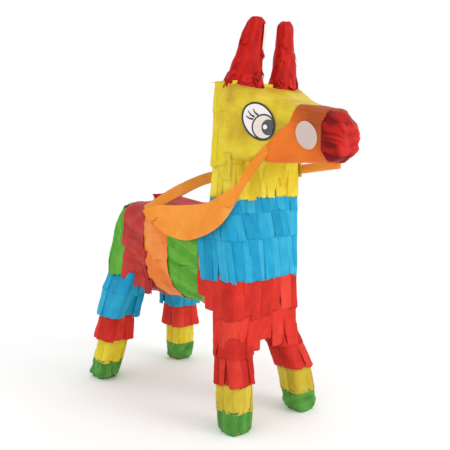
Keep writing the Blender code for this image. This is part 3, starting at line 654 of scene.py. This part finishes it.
def band(front, rear, seed, look):
    # Paper wrapped round the barrel. Its edges wander, strips overlap like a saw wave along the way
    # round, leaning with y, and crumple facets and noise make its creases.
    along = acrossRow(0, 1, 321)
    v = downRows(0, 1, 25)
    edges = np.random.default_rng(seed).normal(0, look["ragged"], 61)
    wander = np.interp(along, np.linspace(0, 1, 61), edges)
    y = (front + 0.4 * wander) * (1 - v) + (rear + wander) * v
    points, normals = withNormals(barrelSurface)(along, -y)
    way = np.linalg.norm(np.diff(points, axis=1), axis=-1).mean(axis=0)
    way = np.concatenate([[0], np.cumsum(way)])[None, :]
    phase = (way + look["lean"] * (y - front)) / look["strip"]
    phase = phase + 0.25 * smoothNoise(points + seed, 0.03)
    saw = phase - np.floor(phase)
    away = look["proud"] + look["step"] * saw**3 + look["crumple"] * crumple(points, look["facet"], 4, seed)
    away = away + look["swell"] * smoothNoise(points + seed, 0.035) + look["edge"] * smoothStep(v, 0.8, 1.0)
    # Round the filling mouth it is pressed flat below the flap's board, and the mouth itself is cut out.
    x, y, z = np.moveaxis(points, -1, 0)
    patch = smoothStep(mouth["patchHalf"] - np.abs(x), 0, mouth["soft"])
    patch = patch * smoothStep(z, mouth["low"], mouth["patchTop"])
    patch = patch * smoothStep(mouth["patchRear"] - y, 0, mouth["soft"])
    away = away - (away + mouth["pressed"]) * patch
    inside = (np.abs(x) <= mouth["half"]) & (y >= mouth["front"]) & (y <= mouth["rear"])
    inside = inside & (z >= mouth["low"])
    tone = (np.floor(phase) * 0.37) % 1
    return part(points + normals * away[..., None], tone=tone, keep=~inside[:-1, :-1])


bandLook = {"ragged": 0.0016, "lean": 0.35, "strip": 0.017, "step": 0.0009, "crumple": 0.0005,
            "facet": 0.014, "swell": 0.0008, "edge": 0.0, "proud": 0.0}
greenLook = {**bandLook, "proud": -0.0012, "step": 0.0014, "strip": 0.015}
piece("bandGreen", [band(-0.0170, 0.056, 51, greenLook)], [greenCrepe], slot="green_crepe",
      replaces=["band_green"])
orangeLook = {**bandLook, "crumple": 0.0010, "step": 0.0004, "strip": 0.05, "lean": 0.9, "facet": 0.020}
piece("bandOrange", [band(0.053, 0.116, 52, orangeLook)], [orangeTissue], slot="orange_crepe",
      replaces=["band_orange"])
crimsonLook = {**bandLook, "proud": 0.0012, "crumple": 0.0016, "facet": 0.016, "step": 0.0005,
               "ragged": 0.0012, "edge": 0.0012}
# Round the top of each hind leg the wall swings out to reach, which falls off ahead of and behind y.
haunch = {"reach": 0.0785, "fall": 0.0225, "y": 0.182, "spread": 0.042, "top": 0.242, "blend": 0.050}


def flankFringe(sign, yFront, yRear, top, bottom, seed, overHaunch=False, **changes):
    # Fringe on the barrel's side. along is y, negative on the right side, and up is height: the wall's x
    # is the section's half width at that height, and over the haunch it swings out to the thigh.
    ends = (yFront, yRear) if sign > 0 else (-yRear, -yFront)
    outline = barrelSection(np.linspace(-0.25, 0.25, 201))

    def surface(along, up):
        y = along if sign > 0 else -along
        t = rumpShare(y)
        tall = barrel["top"] - barrelLow
        rise = rump["rise"] * t**2
        share = (up - barrelLow - rise) / (tall - rump["drop"] * t**1.15 - rise)
        x = np.interp(barrelLow + share * tall, outline[1], outline[0]) * np.sqrt(1 - rump["narrow"] * t**2)
        if overHaunch:
            far = np.clip(np.abs(y - haunch["y"]) / haunch["spread"], 0, 1)
            reach = haunch["reach"] - haunch["fall"] * far**3
            x = x + (np.maximum(reach, x) - x) * smoothStep(haunch["top"] - up, 0, haunch["blend"])
        return np.stack([sign * x, y, up], -1)

    return fringe(surface, ends[0], ends[1], top, bottom, seed, **changes)


# The crimson paper's lower edge on the flank: its height at each depth.
hemDepths = np.array([0.108, 0.135, 0.160])
hemHeights = np.array([0.159, 0.161, 0.177])
hem = {"overHaunch": True, "width": 0.026, "lift": 0.0008, "ragged": 0.05, "loose": 0, "uncut": 0.5,
       "tooth": 0.0016, "wrinkle": 0.0012}
piece("bandCrimson", [
    band(0.1125, 0.170, 53, crimsonLook),
    flankFringe(-1, 0.108, 0.162, 0.2250, (-hemDepths[::-1], hemHeights[::-1]), 54, **hem),
    flankFringe(1, 0.108, 0.162, 0.2250, (hemDepths, hemHeights), 55, **hem),
], [crimsonTissue], slot="crimson_crepe", replaces=["band_crimson"])


def endSurface(along, up):
    # The rump's rear as a wall: along runs from the left to the right, and up is counted down the slope
    # from the top of the back, then down the flat end.
    slope = 0.094
    down = barrel["top"] - up
    t = np.clip(down / slope, 0, 1)
    y = rump["start"] - 0.004 + (rump["end"] - rump["start"] + 0.004) * t
    share = rumpShare(y)
    z = barrel["top"] - rump["drop"] * share**1.15 - np.maximum(down - slope, 0) * 0.97
    wide = np.sqrt(1 - rump["narrow"] * share**2)
    bow = 0.0035 * (along / 0.045) ** 2
    return np.stack([-along * wide, y - bow, z - 0.5 * bow], -1)


rumpSkin = withNormals(barrelSurface)(acrossRow(0, 1, 160, closed=True), -downRows(0.164, 0.2395, 16))[0]
piece("rumpCover", [
    part(rumpSkin, tone=0.35, wrap=True, capEnd=True),
    flankFringe(-1, 0.164, 0.224, 0.2500, 0.178, 61, overHaunch=True, width=0.0125, loose=0),
    flankFringe(1, 0.164, 0.224, 0.2500, 0.178, 62, overHaunch=True, width=0.0125, loose=0),
    flankFringe(-1, 0.165, 0.212, 0.2680, 0.225, 63, width=0.0125, loose=0),
    flankFringe(1, 0.165, 0.212, 0.2680, 0.225, 64, width=0.0125, loose=0),
    fringe(endSurface, -0.060, 0.060, 0.224, 0.158, 65, width=0.013, lift=0.0012, loose=0),
    fringe(endSurface, -0.058, 0.058, 0.2935, 0.215, 66, width=0.014, lift=0.0014, loose=0),
], [greenCrepe], slot="green_crepe", replaces=["rump_cover"])
print("barrel made")

# Head: a tapering section carried along y

headDepths = (-0.209, -0.185, -0.163, -0.145, -0.126, -0.112, -0.100, -0.088, -0.060)
headHalves = (0.0268, 0.0310, 0.0358, 0.0418, 0.0494, 0.0560, 0.0620, 0.0668, 0.0670)
headTops = (0.4300, 0.4345, 0.4395, 0.4440, 0.4505, 0.4560, 0.4610, 0.4665, 0.4700)
jawHeight = 0.3672
headCorner = (0.0150, 0.0135, 0.0120, 0.0115, 0.0110, 0.0100, 0.0090, 0.0080, 0.0075)
headCols = 240


def headSurface(round_, forward):
    # The section at this depth: half width, top and corner are read from the stations. round_ is the
    # share of the way round from the middle of the left cheek over the crown; forward is -y.
    y = -forward
    tables = (headHalves, headTops, headCorner)
    half, top, corner = (steadied(y, headDepths, table, 0.005) for table in tables)
    middle = (top + jawHeight) / 2
    x, z = roundedOutline(round_, half, (top - jawHeight) / 2, corner)
    return np.stack([x, y, z + middle], -1)


eyeCentre = (-0.1245, 0.4180)
nostrilCentre = (-0.1890, 0.4005)


def calm(points):
    # 0 under the stickers and 1 away from them, so that the paper lies flat where they are stuck.
    y, z = points[..., 1], points[..., 2]
    eye = np.hypot((y - eyeCentre[0]) / 0.021, (z - eyeCentre[1]) / 0.026)
    nostril = np.hypot((y - nostrilCentre[0]) / 0.016, (z - nostrilCentre[1]) / 0.018)
    return smoothStep(np.minimum(eye, nostril), 0.95, 1.25)


def headPart(front, rear, seed, proud, amount, facet, rows, capEnd=False, pleats=None, shaded=False):
    # Paper drawn over the head between two edges, each a depth or a depth for every share round. It
    # stands off by proud plus crumple facets and noise, both calmed under the stickers, and by pleats
    # that run forward where pleats gives their number and height.
    round_ = acrossRow(0, 1, headCols, closed=True)
    v = downRows(0, 1, rows)
    y = front * (1 - v) + rear * v
    points, normals = withNormals(headSurface)(round_, -y)
    away = proud + amount * crumple(points * [1, 0.8, 1], facet, 4, seed) * calm(points)
    away = away + 0.6 * amount * smoothNoise(points + seed, 0.012) * calm(points)
    if pleats:
        number, height = pleats
        wave = foldWave(round_ * number + 0.8 * smoothNoise(points + 3, 0.03))
        away = away + height * wave * calm(points)
    tone = 0.5 + 0.3 * crumple(points, 0.03, 2, seed)
    y, z = points[..., 1], points[..., 2]
    if shaded:
        # Darker on the top and brighter towards the lower rear.
        tone = 0.35 * tone + 0.75 * smoothStep(0.9 * (y + 0.209) - 0.8 * z, -0.340, -0.265) - 0.10
    else:
        # Ahead of the eyes, towards the muzzle, and on the brow the colour is deeper.
        ahead, brow = smoothStep(-y, 0.130, 0.165), smoothStep(z + 0.2 * y, 0.418, 0.430)
        tone = tone - 0.26 * np.maximum(ahead, brow)
    return part(points + normals * away[..., None], tone=tone, wrap=True, capStart=True, capEnd=capEnd)


def cheekSkirt(sign, seed):
    # The face sheet's loose hem on the side of the neck: from the jaw down to a torn edge, a little off
    # the neck.
    dice = np.random.default_rng(seed)
    y = acrossRow(-0.0895, -0.0610, 33)
    edge = 0.3420 + 0.018 * smoothStep(y, -0.075, -0.061) + dice.normal(0, 0.0006, 33)[None, :]
    v = downRows(0, 1, 18)
    points = xyz(sign * (column["half"] + 0.0002), y, 0.378 * (1 - v) + edge * v)
    points[..., 0] += sign * (0.0012 + 0.0010 * v + 0.0006 * crumple(points, 0.014, 3, seed))
    return part(points[:, ::sign], tone=0.55)


def crownSheet():
    # The flat sheet that closes the crown from the face's hem to the nape: an even grid with 0.3 mm of
    # noise.
    points = xyz(acrossRow(-0.0655, 0.0655, 40), downRows(-0.0462, -0.0700, 12), 0.4707)
    points[..., 2] += 0.0003 * smoothNoise(points, 0.012)
    return part(points, tone=0.5)


faceHem = -0.0620 + np.random.default_rng(5).normal(0, 0.0010, headCols)[None, :]
piece("faceCover", [
    crownSheet(),
    headPart(-0.1850, faceHem, 71, 0.0004, 0.0006, 0.020, 64, capEnd=True),
    cheekSkirt(-1, 72), cheekSkirt(1, 73),
], [yellowTissue], slot="yellow_crepe", replaces=["face_cover"])

# The wrap's rear edge: far back along the jaw, where the rein starts, and forward over the crown.
wrapShares = (0.0, 0.10, 0.17, 0.33, 0.40, 0.455, 0.50, 0.56, 0.64, 0.75, 0.84, 0.90, 0.955, 1.0)
wrapDepths = (-0.1660, -0.1700, -0.1730, -0.1730, -0.1700, -0.1650, -0.1500, -0.1345, -0.1290, -0.1450,
              -0.1290, -0.1320, -0.1500, -0.1660)
wrapEdge = np.interp(acrossRow(0, 1, headCols, closed=True), wrapShares, wrapDepths)
wrapEdge = wrapEdge + np.random.default_rng(8).normal(0, 0.0005, headCols)
piece("muzzleWrap", [
    headPart(-0.2085, wrapEdge, 81, 0.0014, 0.0006, 0.016, 44, pleats=(34, 0.0007), shaded=True),
], [muzzleTissue], slot="orange_crepe", replaces=["muzzle_wrap"])

nose = {"rear": -0.2055, "depth": 0.0300, "half": 0.0268, "tall": 0.0318, "middle": 0.3990,
        "corner": 0.0225}


def noseShell():
    # A gathered dome. v goes from the collar to the middle: the size falls as the cosine of v times 89
    # degrees to the power 0.62, and the depth grows as its sine to the power 1.15, with a dimple at the
    # end, pleats that meet there, and facets.
    round_ = acrossRow(0, 1, 192, closed=True)
    v = downRows(0, 1, 64)
    angle = v * math.pi / 2 * 0.985
    size = np.cos(angle) ** 0.62
    x, z = roundedOutline(round_, nose["half"], nose["tall"], nose["corner"])
    y = nose["rear"] - nose["depth"] * np.sin(angle) ** 1.15 + 0.0020 * smoothStep(v, 0.80, 1.0)
    points = xyz(x * size, y, nose["middle"] - 0.005 * v + z * size)
    outward = unit(xyz(x * size, -0.026 * np.sin(angle) ** 2, z * size))
    gather = smoothStep(v, 0.10, 0.45) * smoothStep(1 - v, 0.08, 0.35)
    wave = foldWave(round_ * 13 + 1.2 * smoothNoise(points, 0.024))
    facets = crumple(points, 0.011, 4, 95)
    away = 0.0010 * wave * gather + 0.0018 * facets * smoothStep(v, 0, 0.1)
    # The tone is painted light and shade: dark at the collar, which shows as the side turned from the
    # light, brighter towards the middle, and lighter on the pleats' ridges and the facets that stand out.
    tone = 0.12 + 0.42 * smoothStep(v, 0.25, 0.85) + 0.35 * wave * gather + 0.22 * facets
    return part(points + outward * away[..., None], tone=tone, wrap=True, capStart=True, capEnd=True)


piece("noseCap", [noseShell()], [noseTissue], slot="red_crepe", replaces=["nose_cap"], wall=0)

# Ears: a flat cone turned about its own axis

ear = {"z": (0.457, 0.4720, 0.488, 0.504, 0.534, 0.548, 0.5545),
       "y": (-0.0810, -0.0815, -0.0840, -0.0865, -0.0915, -0.0935, -0.0945),
       "deep": (0.0155, 0.0150, 0.0130, 0.0115, 0.0095, 0.0080, 0.0035), "turn": math.radians(14)}
# No two handmade ears match: the right one narrows quickly above its base.
earRight = {**ear, "away": (0.0378, 0.0375, 0.0350, 0.0325, 0.0300, 0.0278, 0.0270),
            "wide": (0.0285, 0.0280, 0.0230, 0.0190, 0.0160, 0.0130, 0.0060)}
earLeft = {**ear, "away": (0.0372, 0.0370, 0.0358, 0.0345, 0.0300, 0.0275, 0.0270),
           "wide": (0.0270, 0.0265, 0.0240, 0.0210, 0.0150, 0.0115, 0.0055)}
earSize = 0.02  # the half size of the outline on which distances round an ear are counted
earOutline = np.stack(roundedOutline(np.linspace(0, 1, 120, endpoint=False), 1.0, 1.0, 0.9), -1)
earAt, earLength = traced(earOutline * earSize, closed=True)


def earSurface(sign, look):
    # A near ellipse at each height, wide across and shallow, turned outwards; its size follows the
    # stations.
    def surface(along, up):
        a, b = np.moveaxis(earAt(along) / earSize, -1, 0)
        keys = ("away", "y", "wide", "deep")
        away, y, wide, deep = (steadied(up, look["z"], look[key], 0.002) for key in keys)
        a, b = a * wide, b * deep
        turn = sign * look["turn"]
        x = sign * away + a * math.cos(turn) - b * math.sin(turn)
        return np.stack([x, y + a * math.sin(turn) + b * math.cos(turn), up], -1)

    return surface


tornPaper = {"width": 0.012, "ragged": 0.20, "wrinkle": 0.0012, "tooth": 0.0020, "slant": 0.15, "loose": 0,
             "lift": 0.0012}
# Torn flakes: the share of the way round the ear, the top and the bottom of each.
flakePlaces = ((0.93, 0.490, 0.474), (0.55, 0.486, 0.470), (0.95, 0.515, 0.502), (0.55, 0.510, 0.496),
               (0.55, 0.532, 0.520))
flakeHalf = 0.011


def makeEar(side, sign, seed, look):
    # A closed shell with nine folds and crumple facets, torn flakes on it, and a ragged foot on the
    # crown.
    surface = earSurface(sign, look)
    along = acrossRow(0, earLength, 121)[:, :-1]
    points, normals = withNormals(surface)(along, downRows(0.5538, 0.4575, 76))
    folds = foldWave(along / earLength * 9 + 0.7 * smoothNoise(points, 0.03))
    away = 0.0012 * crumple(points * [1, 1, 0.6], 0.017, 4, seed) + 0.0007 * folds
    points = points + normals * away[..., None]
    # The tone follows the folds: painted light on their ridges and painted shade in their hollows.
    shell = part(points, tone=0.5 + 0.5 * folds, wrap=True, capStart=True, capEnd=True)
    flakes = [fringe(surface, share * earLength - flakeHalf, share * earLength + flakeHalf, top, bottom,
                     seed + k, **tornPaper) for k, (share, top, bottom) in enumerate(flakePlaces)]
    footLook = {**tornPaper, "ragged": 0.22, "width": 0.010, "curl": 0.0016}
    foot = fringe(surface, 0, earLength, 0.4800, 0.4640, seed + 20, **footLook)
    parts = [shell, foot, *flakes]
    if side == "Right":
        # The lined card shows along the ear's inner edge, where the paper stops short.
        parts.append(cardSliver(surface))
    piece("ear" + side, parts, [redTissue, whiteBoard], slot="red_crepe", replaces=["ear_" + side.lower()])


def cardSliver(surface):
    # A narrow strip of card up the inner edge, 2.1 mm proud of it, from 9.5 mm wide at its top to 4 mm.
    up = downRows(0.5450, 0.5120, 14)
    along = acrossRow(0, 1, 6) * (0.0040 + 0.0055 * (up - 0.5120) / 0.033) - 0.0195
    points, normals = withNormals(surface)(along, up)
    return part(points + normals * 0.0021, tone=0.6, slot=1)


makeEar("Right", -1, 301, earRight)
makeEar("Left", 1, 331, earLeft)
print("head made")

# Stickers: stacked printed discs that follow the cheek

# Ball, pupil and glint each have their middle and their radius; a lash has its two ends.
eyeLook = {
    "half": (0.0208, 0.0270), "tilt": -0.70, "outline": 0.0025, "ball": (0.0068, -0.0072, 0.0165),
    "ballLine": 0.0021, "pupil": (0.0140, -0.0078, 0.0100), "glint": (0.0094, -0.0072, 0.0031),
    "glintLine": 0.0009,
    "lashes": (((-0.0174, 0.0076), (-0.0074, 0.0030)), ((-0.0144, 0.0137), (-0.0056, 0.0058)),
               ((-0.0077, 0.0160), (-0.0004, 0.0080))),
}


def onCheek(sign, forward, up, centre, proud):
    # A point of a sticker: forward runs along the cheek towards the nose, up is height; proud is off
    # the paper. The cheek slants, so a step along it is 0.906 of that in depth.
    y = centre[0] - forward * 0.906
    half, ahead, behind = (steadied(y + step, headDepths, headHalves, 0.005) for step in (0, 0.001, -0.001))
    normal = unit(xyz(1.0, -(ahead - behind) / 0.002, 0.0))
    return (xyz(half, y, centre[1] + up) + normal * proud) * [sign, 1, 1]


def disc(sign, centre, middle, half, proud, slot, tilt=0.0, within=None):
    # A filled oval: rings of points about its middle. Points beyond the oval within are pulled back on
    # to it.
    r = downRows(1, 0.02, 6)
    angle = acrossRow(0, 2 * math.pi, 64, closed=True)
    a, b = half[0] * np.cos(angle) * r, half[1] * np.sin(angle) * r
    c, s = math.cos(tilt), math.sin(tilt)
    a, b = middle[0] + a * c + b * s, middle[1] - a * s + b * c
    if within:
        (wide, tall), turn = within
        c = (a * math.cos(turn) - b * math.sin(turn)) / wide
        d = (a * math.sin(turn) + b * math.cos(turn)) / tall
        scale = 1 / np.maximum(1, np.hypot(c, d))
        a, b = a * scale, b * scale
    points = onCheek(sign, a, b, centre, proud)
    return part(points[:, ::-sign], tone=0.5, wrap=True, capEnd=True, slot=slot)


def lash(sign, start, end, proud, slot):
    # A short stroke, 2.6 mm wide at the ball and bowed by 1.3 mm, with a thin far end.
    v = acrossRow(0, 1, 12)
    side = np.array([end[1] - start[1], start[0] - end[0]])
    side = side / np.linalg.norm(side)
    w = downRows(-0.5, 0.5, 3) * 0.0026 * (1 - 0.65 * (1 - v)) + 0.0013 * np.sin(math.pi * v)
    a, b = (start[k] * (1 - v) + end[k] * v + side[k] * w for k in (0, 1))
    return part(onCheek(sign, a, b, eyeCentre, proud)[::sign], tone=0.5, slot=slot)


def makeEye(side, sign):
    # Inks printed one over the other, each 0.16 mm above the last: the rim, the white, and then round
    # spots kept within the white; the lashes lie over them all.
    look = eyeLook
    tilt = look["tilt"]
    white = tuple(half - look["outline"] for half in look["half"])
    spots = ((0, "ball", 0), (2, "ball", -look["ballLine"]), (3, "pupil", 0),
             (0, "glint", look["glintLine"]), (1, "glint", 0))
    parts = [disc(sign, eyeCentre, (0, 0), look["half"], 0.0016, 0, tilt),
             disc(sign, eyeCentre, (0, 0), white, 0.0016 + 0.00016, 1, tilt)]
    for k, (ink, spot, more) in enumerate(spots, 2):
        *middle, radius = look[spot]
        parts.append(disc(sign, eyeCentre, middle, (radius + more,) * 2, 0.0016 + 0.00016 * k, ink, 0,
                          (white, tilt)))
    parts += [lash(sign, start, end, 0.0022, 0) for start, end in look["lashes"]]
    inks = [stickerBlack, stickerWhite, stickerCream, stickerGrey]
    piece("eyeSticker" + side, parts, inks, slot="sticker_paper",
          replaces=["eye_sticker_" + side.lower()], wall=0)


def makeNostril(side, sign):
    # A grey-pink oval over a peach one of the same size, which shows as a rim where it is moved by 0.6 mm.
    half = (0.0148, 0.0184)
    parts = [disc(sign, nostrilCentre, (0.0006, -0.0006), half, 0.0024, 1, -0.7),
             disc(sign, nostrilCentre, (0, 0), half, 0.0026, 0, -0.7)]
    piece("nostrilSticker" + side, parts, [stickerPink, stickerPeach], slot="sticker_paper",
          replaces=["nostril_sticker_" + side.lower()], wall=0)


for side, sign in sides:
    makeEye(side, sign)
    makeNostril(side, sign)
print("stickers made")

# Back: strips of red paper round the hanging loop and the fill flap


def backSheet(low, high, seed):
    # A flat sheet of tissue between two corners, 0.8 mm above the back, with creases of up to 1 mm.
    points = xyz(acrossRow(low[0], high[0], 40), downRows(low[1], high[1], 50), 0.2948)
    points[..., 2] += 0.0005 * (1 + crumple(points, 0.014, 3, seed))
    return part(points, tone=0.4)


piece("backStrip", [
    backSheet((-0.0362, -0.0170), (0.0362, 0.0685), 401),
    backSheet((-0.0362, 0.0685), (-0.0288, 0.1720), 402),
    backSheet((0.0288, 0.0685), (0.0362, 0.1720), 403),
    backSheet((-0.0362, 0.1450), (0.0362, 0.1720), 404),
], [redTissue], slot="red_crepe", replaces=["back_strip"])

flap = {"hinge": 0.069, "length": 0.0745, "half": 0.0278, "ajar": math.radians(7), "thick": 0.0046,
        "height": 0.2943}


def flapPoint(x, outward, height):
    # Places a point of the closed lid and turns it about the hinge line by the angle at which it rests
    # ajar.
    c, s = math.cos(flap["ajar"]), math.sin(flap["ajar"])
    return xyz(x, flap["hinge"] + c * outward - s * height, flap["height"] + s * outward + c * height)


def makeFlap():
    # A card with a crumpled red sheet glued on top that overhangs its free end as a torn tab.
    x = acrossRow(-flap["half"], flap["half"], 48)
    v = downRows(0, 1, 44)
    torn = np.random.default_rng(410).normal(0, 0.0009, 48)[None, :]
    outward = 0.0008 + (flap["length"] + 0.003 + torn) * v
    facets = crumple(flapPoint(x, outward, -0.0001), 0.013, 3, 411)
    height = -0.0001 + 0.0004 * facets * smoothStep(v, 0.0, 0.2) + 0.0055 * smoothStep(v, 0.90, 1.0)
    top = part(flapPoint(x, outward, height), tone=0.5)
    t = acrossRow(0, 1, 96, closed=True)
    a, b = roundedOutline(t, flap["half"], flap["length"] / 2 - 0.0004, 0.003)
    layer = np.array([0.0, 0.3, 0.7, 1.0])[:, None]
    card = flapPoint(a, b + flap["length"] / 2 + 0.0006, -0.0009 - layer * (flap["thick"] - 0.0010))
    body = part(card, tone=0.5, wrap=True, capStart=True, capEnd=True, slot=1)
    piece("fillFlap", [top, body], [redTissue, brownBoard], body="fill_flap", slot="red_crepe",
          replaces=["fill_flap"], wall=0.0002)


makeFlap()
print("back made")

# Reins: streamers of crepe cut 50 mm wide, which stretch to 52 mm, and are folded where they run narrow

# Each station is a point of the middle line and the step from there to the upper edge.
rightRein = [
    ((-0.0458, -0.1360, 0.3835), (0, 0.0020, 0.0055)), ((-0.0560, -0.1160, 0.3570), (0, 0.0030, 0.0062)),
    ((-0.0690, -0.1050, 0.3300), (0, 0.0015, 0.0078)), ((-0.0740, -0.0800, 0.3045), (0, 0.0000, 0.0190)),
    ((-0.0745, -0.0300, 0.2830), (0, -0.0120, 0.0262)), ((-0.0740, 0.0220, 0.2785), (0, -0.0070, 0.0240)),
    ((-0.0730, 0.0700, 0.2815), (0, 0.0000, 0.0170)), ((-0.0705, 0.1045, 0.2835), (0, 0.0030, 0.0050)),
]
leftRein = [
    ((-0.0670, 0.1090, 0.2890), (0, 0.0030, 0.0050)), ((-0.0500, 0.0880, 0.3040), (0, 0.0020, 0.0080)),
    ((-0.0340, 0.0600, 0.3210), (0, 0.0020, 0.0088)), ((0.0000, 0.0420, 0.3370), (0, 0.0000, 0.0085)),
    ((0.0420, 0.0000, 0.3450), (0, 0.0000, 0.0080)), ((0.0700, -0.0460, 0.3500), (0, 0.0000, 0.0075)),
    ((0.0710, -0.0850, 0.3530), (0, 0.0000, 0.0065)), ((0.0705, -0.1250, 0.3575), (0, 0.0000, 0.0060)),
    ((0.0690, -0.1600, 0.3620), (0, 0.0000, 0.0060)),
]


def throughStations(stations, count):
    # A smooth curve through the stations, even in length: cubic pieces whose slope is that of the
    # neighbours.
    stations = np.array(stations, float)
    spots = np.concatenate([[0], np.cumsum(np.linalg.norm(np.diff(stations[:, :3], axis=0), axis=1))])
    slopes = np.gradient(stations, spots, axis=0)
    s = np.linspace(0, spots[-1], count)
    k = np.clip(np.searchsorted(spots, s, side="right") - 1, 0, len(spots) - 2)
    h = (spots[k + 1] - spots[k])[:, None]
    t = ((s - spots[k]) / h[:, 0])[:, None]
    return (stations[k] * (2 * t**3 - 3 * t**2 + 1) + slopes[k] * h * (t**3 - 2 * t**2 + t)
            + stations[k + 1] * (3 * t**2 - 2 * t**3) + slopes[k + 1] * h * (t**3 - t**2)), spots[-1]


def makeRein(name, stations, node, seed, material):
    # Across the ribbon u goes from -1 to 1. Where it runs under 18 mm wide it is folded in three like a
    # letter: the place across is a triangle wave of u, and the depth grows with u. Over 44 mm wide it
    # lies open, and between the two it is partly folded. Noise gives it ripples of up to 1 mm.
    path, length = throughStations([(*middle, *edge) for middle, edge in stations], 260)
    middle, edge = path[:, None, :3], path[:, None, 3:]
    u = acrossRow(-1, 1, 37)
    width = 2 * np.linalg.norm(edge[:, 0], axis=-1)[:, None]
    way = unit(np.gradient(path[:, :3], axis=0))[:, None]
    face = unit(np.cross(edge + 0 * way, way))
    folded = 1 - smoothStep(width, 0.018, 0.044)
    zigzag = 2 * np.abs(np.mod(1.5 * (u + 1) + 1, 2) - 1) - 1
    flat = middle + edge * (u + (zigzag - u) * folded)[..., None]
    ripple = 0.0010 * smoothNoise(flat + seed, 0.022) * np.minimum(1, width / 0.03)
    points = flat + face * (0.0022 * u * folded + ripple)[..., None]
    # The tone is random clouds plus painted shade: where the ribbon is folded, the layers set back are
    # darker and the one on top lighter.
    tone = 0.5 + 0.35 * smoothNoise(flat + seed, 0.03) + 0.2 * u * folded
    obj = piece(name, [part(points[:, ::-1], tone=tone)], [material], slot="orange_crepe", replaces=[node],
                wall=0.0003)
    print(name, "is", round(length, 4), "m long")


makeRein("reinRight", rightRein, "rein_right", 501, orangeStreamer)
# The far rein takes the paler copy of the crepe, as painted light.
makeRein("reinLeft", leftRein, "rein_left", 502, paintedLightStreamer)

# Floor, light and camera


def backdropMaterial():
    # Matte white studio paper with a faint tooth.
    material = bpy.data.materials.new("whiteStudioPaper")
    material.use_nodes = True
    tree = material.node_tree
    place = addNode(tree, "ShaderNodeTexCoord").outputs["Object"]
    grain = addNode(tree, "ShaderNodeTexNoise", {"Scale": 400.0}, {"Vector": place}).outputs[0]
    tooth = {"Strength": 0.05, "Distance": 0.0005}
    bump = addNode(tree, "ShaderNodeBump", tooth, {"Height": grain}).outputs[0]
    shader = tree.nodes["Principled BSDF"]
    shader.inputs["Base Color"].default_value = hexColour("#ffffff")
    shader.inputs["Roughness"].default_value = 0.95
    shader.inputs["Specular IOR Level"].default_value = 0.0
    tree.links.new(bump, shader.inputs["Normal"])
    return material


floorMesh = bpy.data.meshes.new("floor")
reach = 6.0
floorCorners = [(-reach, -reach, 0), (reach, -reach, 0), (reach, reach, 0), (-reach, reach, 0)]
floorMesh.from_pydata(floorCorners, [], [(0, 1, 2, 3)])
floor = bpy.data.objects.new("floor", floorMesh)
floorMesh.materials.append(backdropMaterial())
bpy.context.scene.collection.objects.link(floor)

world = bpy.data.worlds.new("whiteRoom")
world.use_nodes = True
world.node_tree.nodes["Background"].inputs["Color"].default_value = (1, 1, 1, 1)
world.node_tree.nodes["Background"].inputs["Strength"].default_value = 1.0
bpy.context.scene.world = world
bpy.context.scene.view_settings.view_transform = "Standard"


def softBox(name, place, target, size, watts):
    # A square area light at place that points at target.
    data = bpy.data.lights.new(name, "AREA")
    data.shape = "SQUARE"
    data.size = size
    data.energy = watts
    obj = bpy.data.objects.new(name, data)
    obj.location = place
    obj.rotation_euler = (Vector(target) - Vector(place)).to_track_quat("-Z", "Y").to_euler()
    bpy.context.scene.collection.objects.link(obj)


softBox("keyLight", (0.55, -1.6, 0.95), (0, -0.05, 0.28), 0.8, 9)
softBox("fillLight", (-1.7, -0.3, 0.6), (0, 0.05, 0.25), 1.0, 1)

cameraData = bpy.data.cameras.new("camera")
cameraData.lens = 55.482
cameraData.sensor_width = 36
cameraData.clip_start = 0.01
camera = bpy.data.objects.new("camera", cameraData)
camera.location = (-0.6701, -0.7707, 0.3911)
camera.rotation_euler = Vector((0.6517, 0.7492, -0.1180)).to_track_quat("-Z", "Y").to_euler()
bpy.context.scene.collection.objects.link(camera)
bpy.context.scene.camera = camera
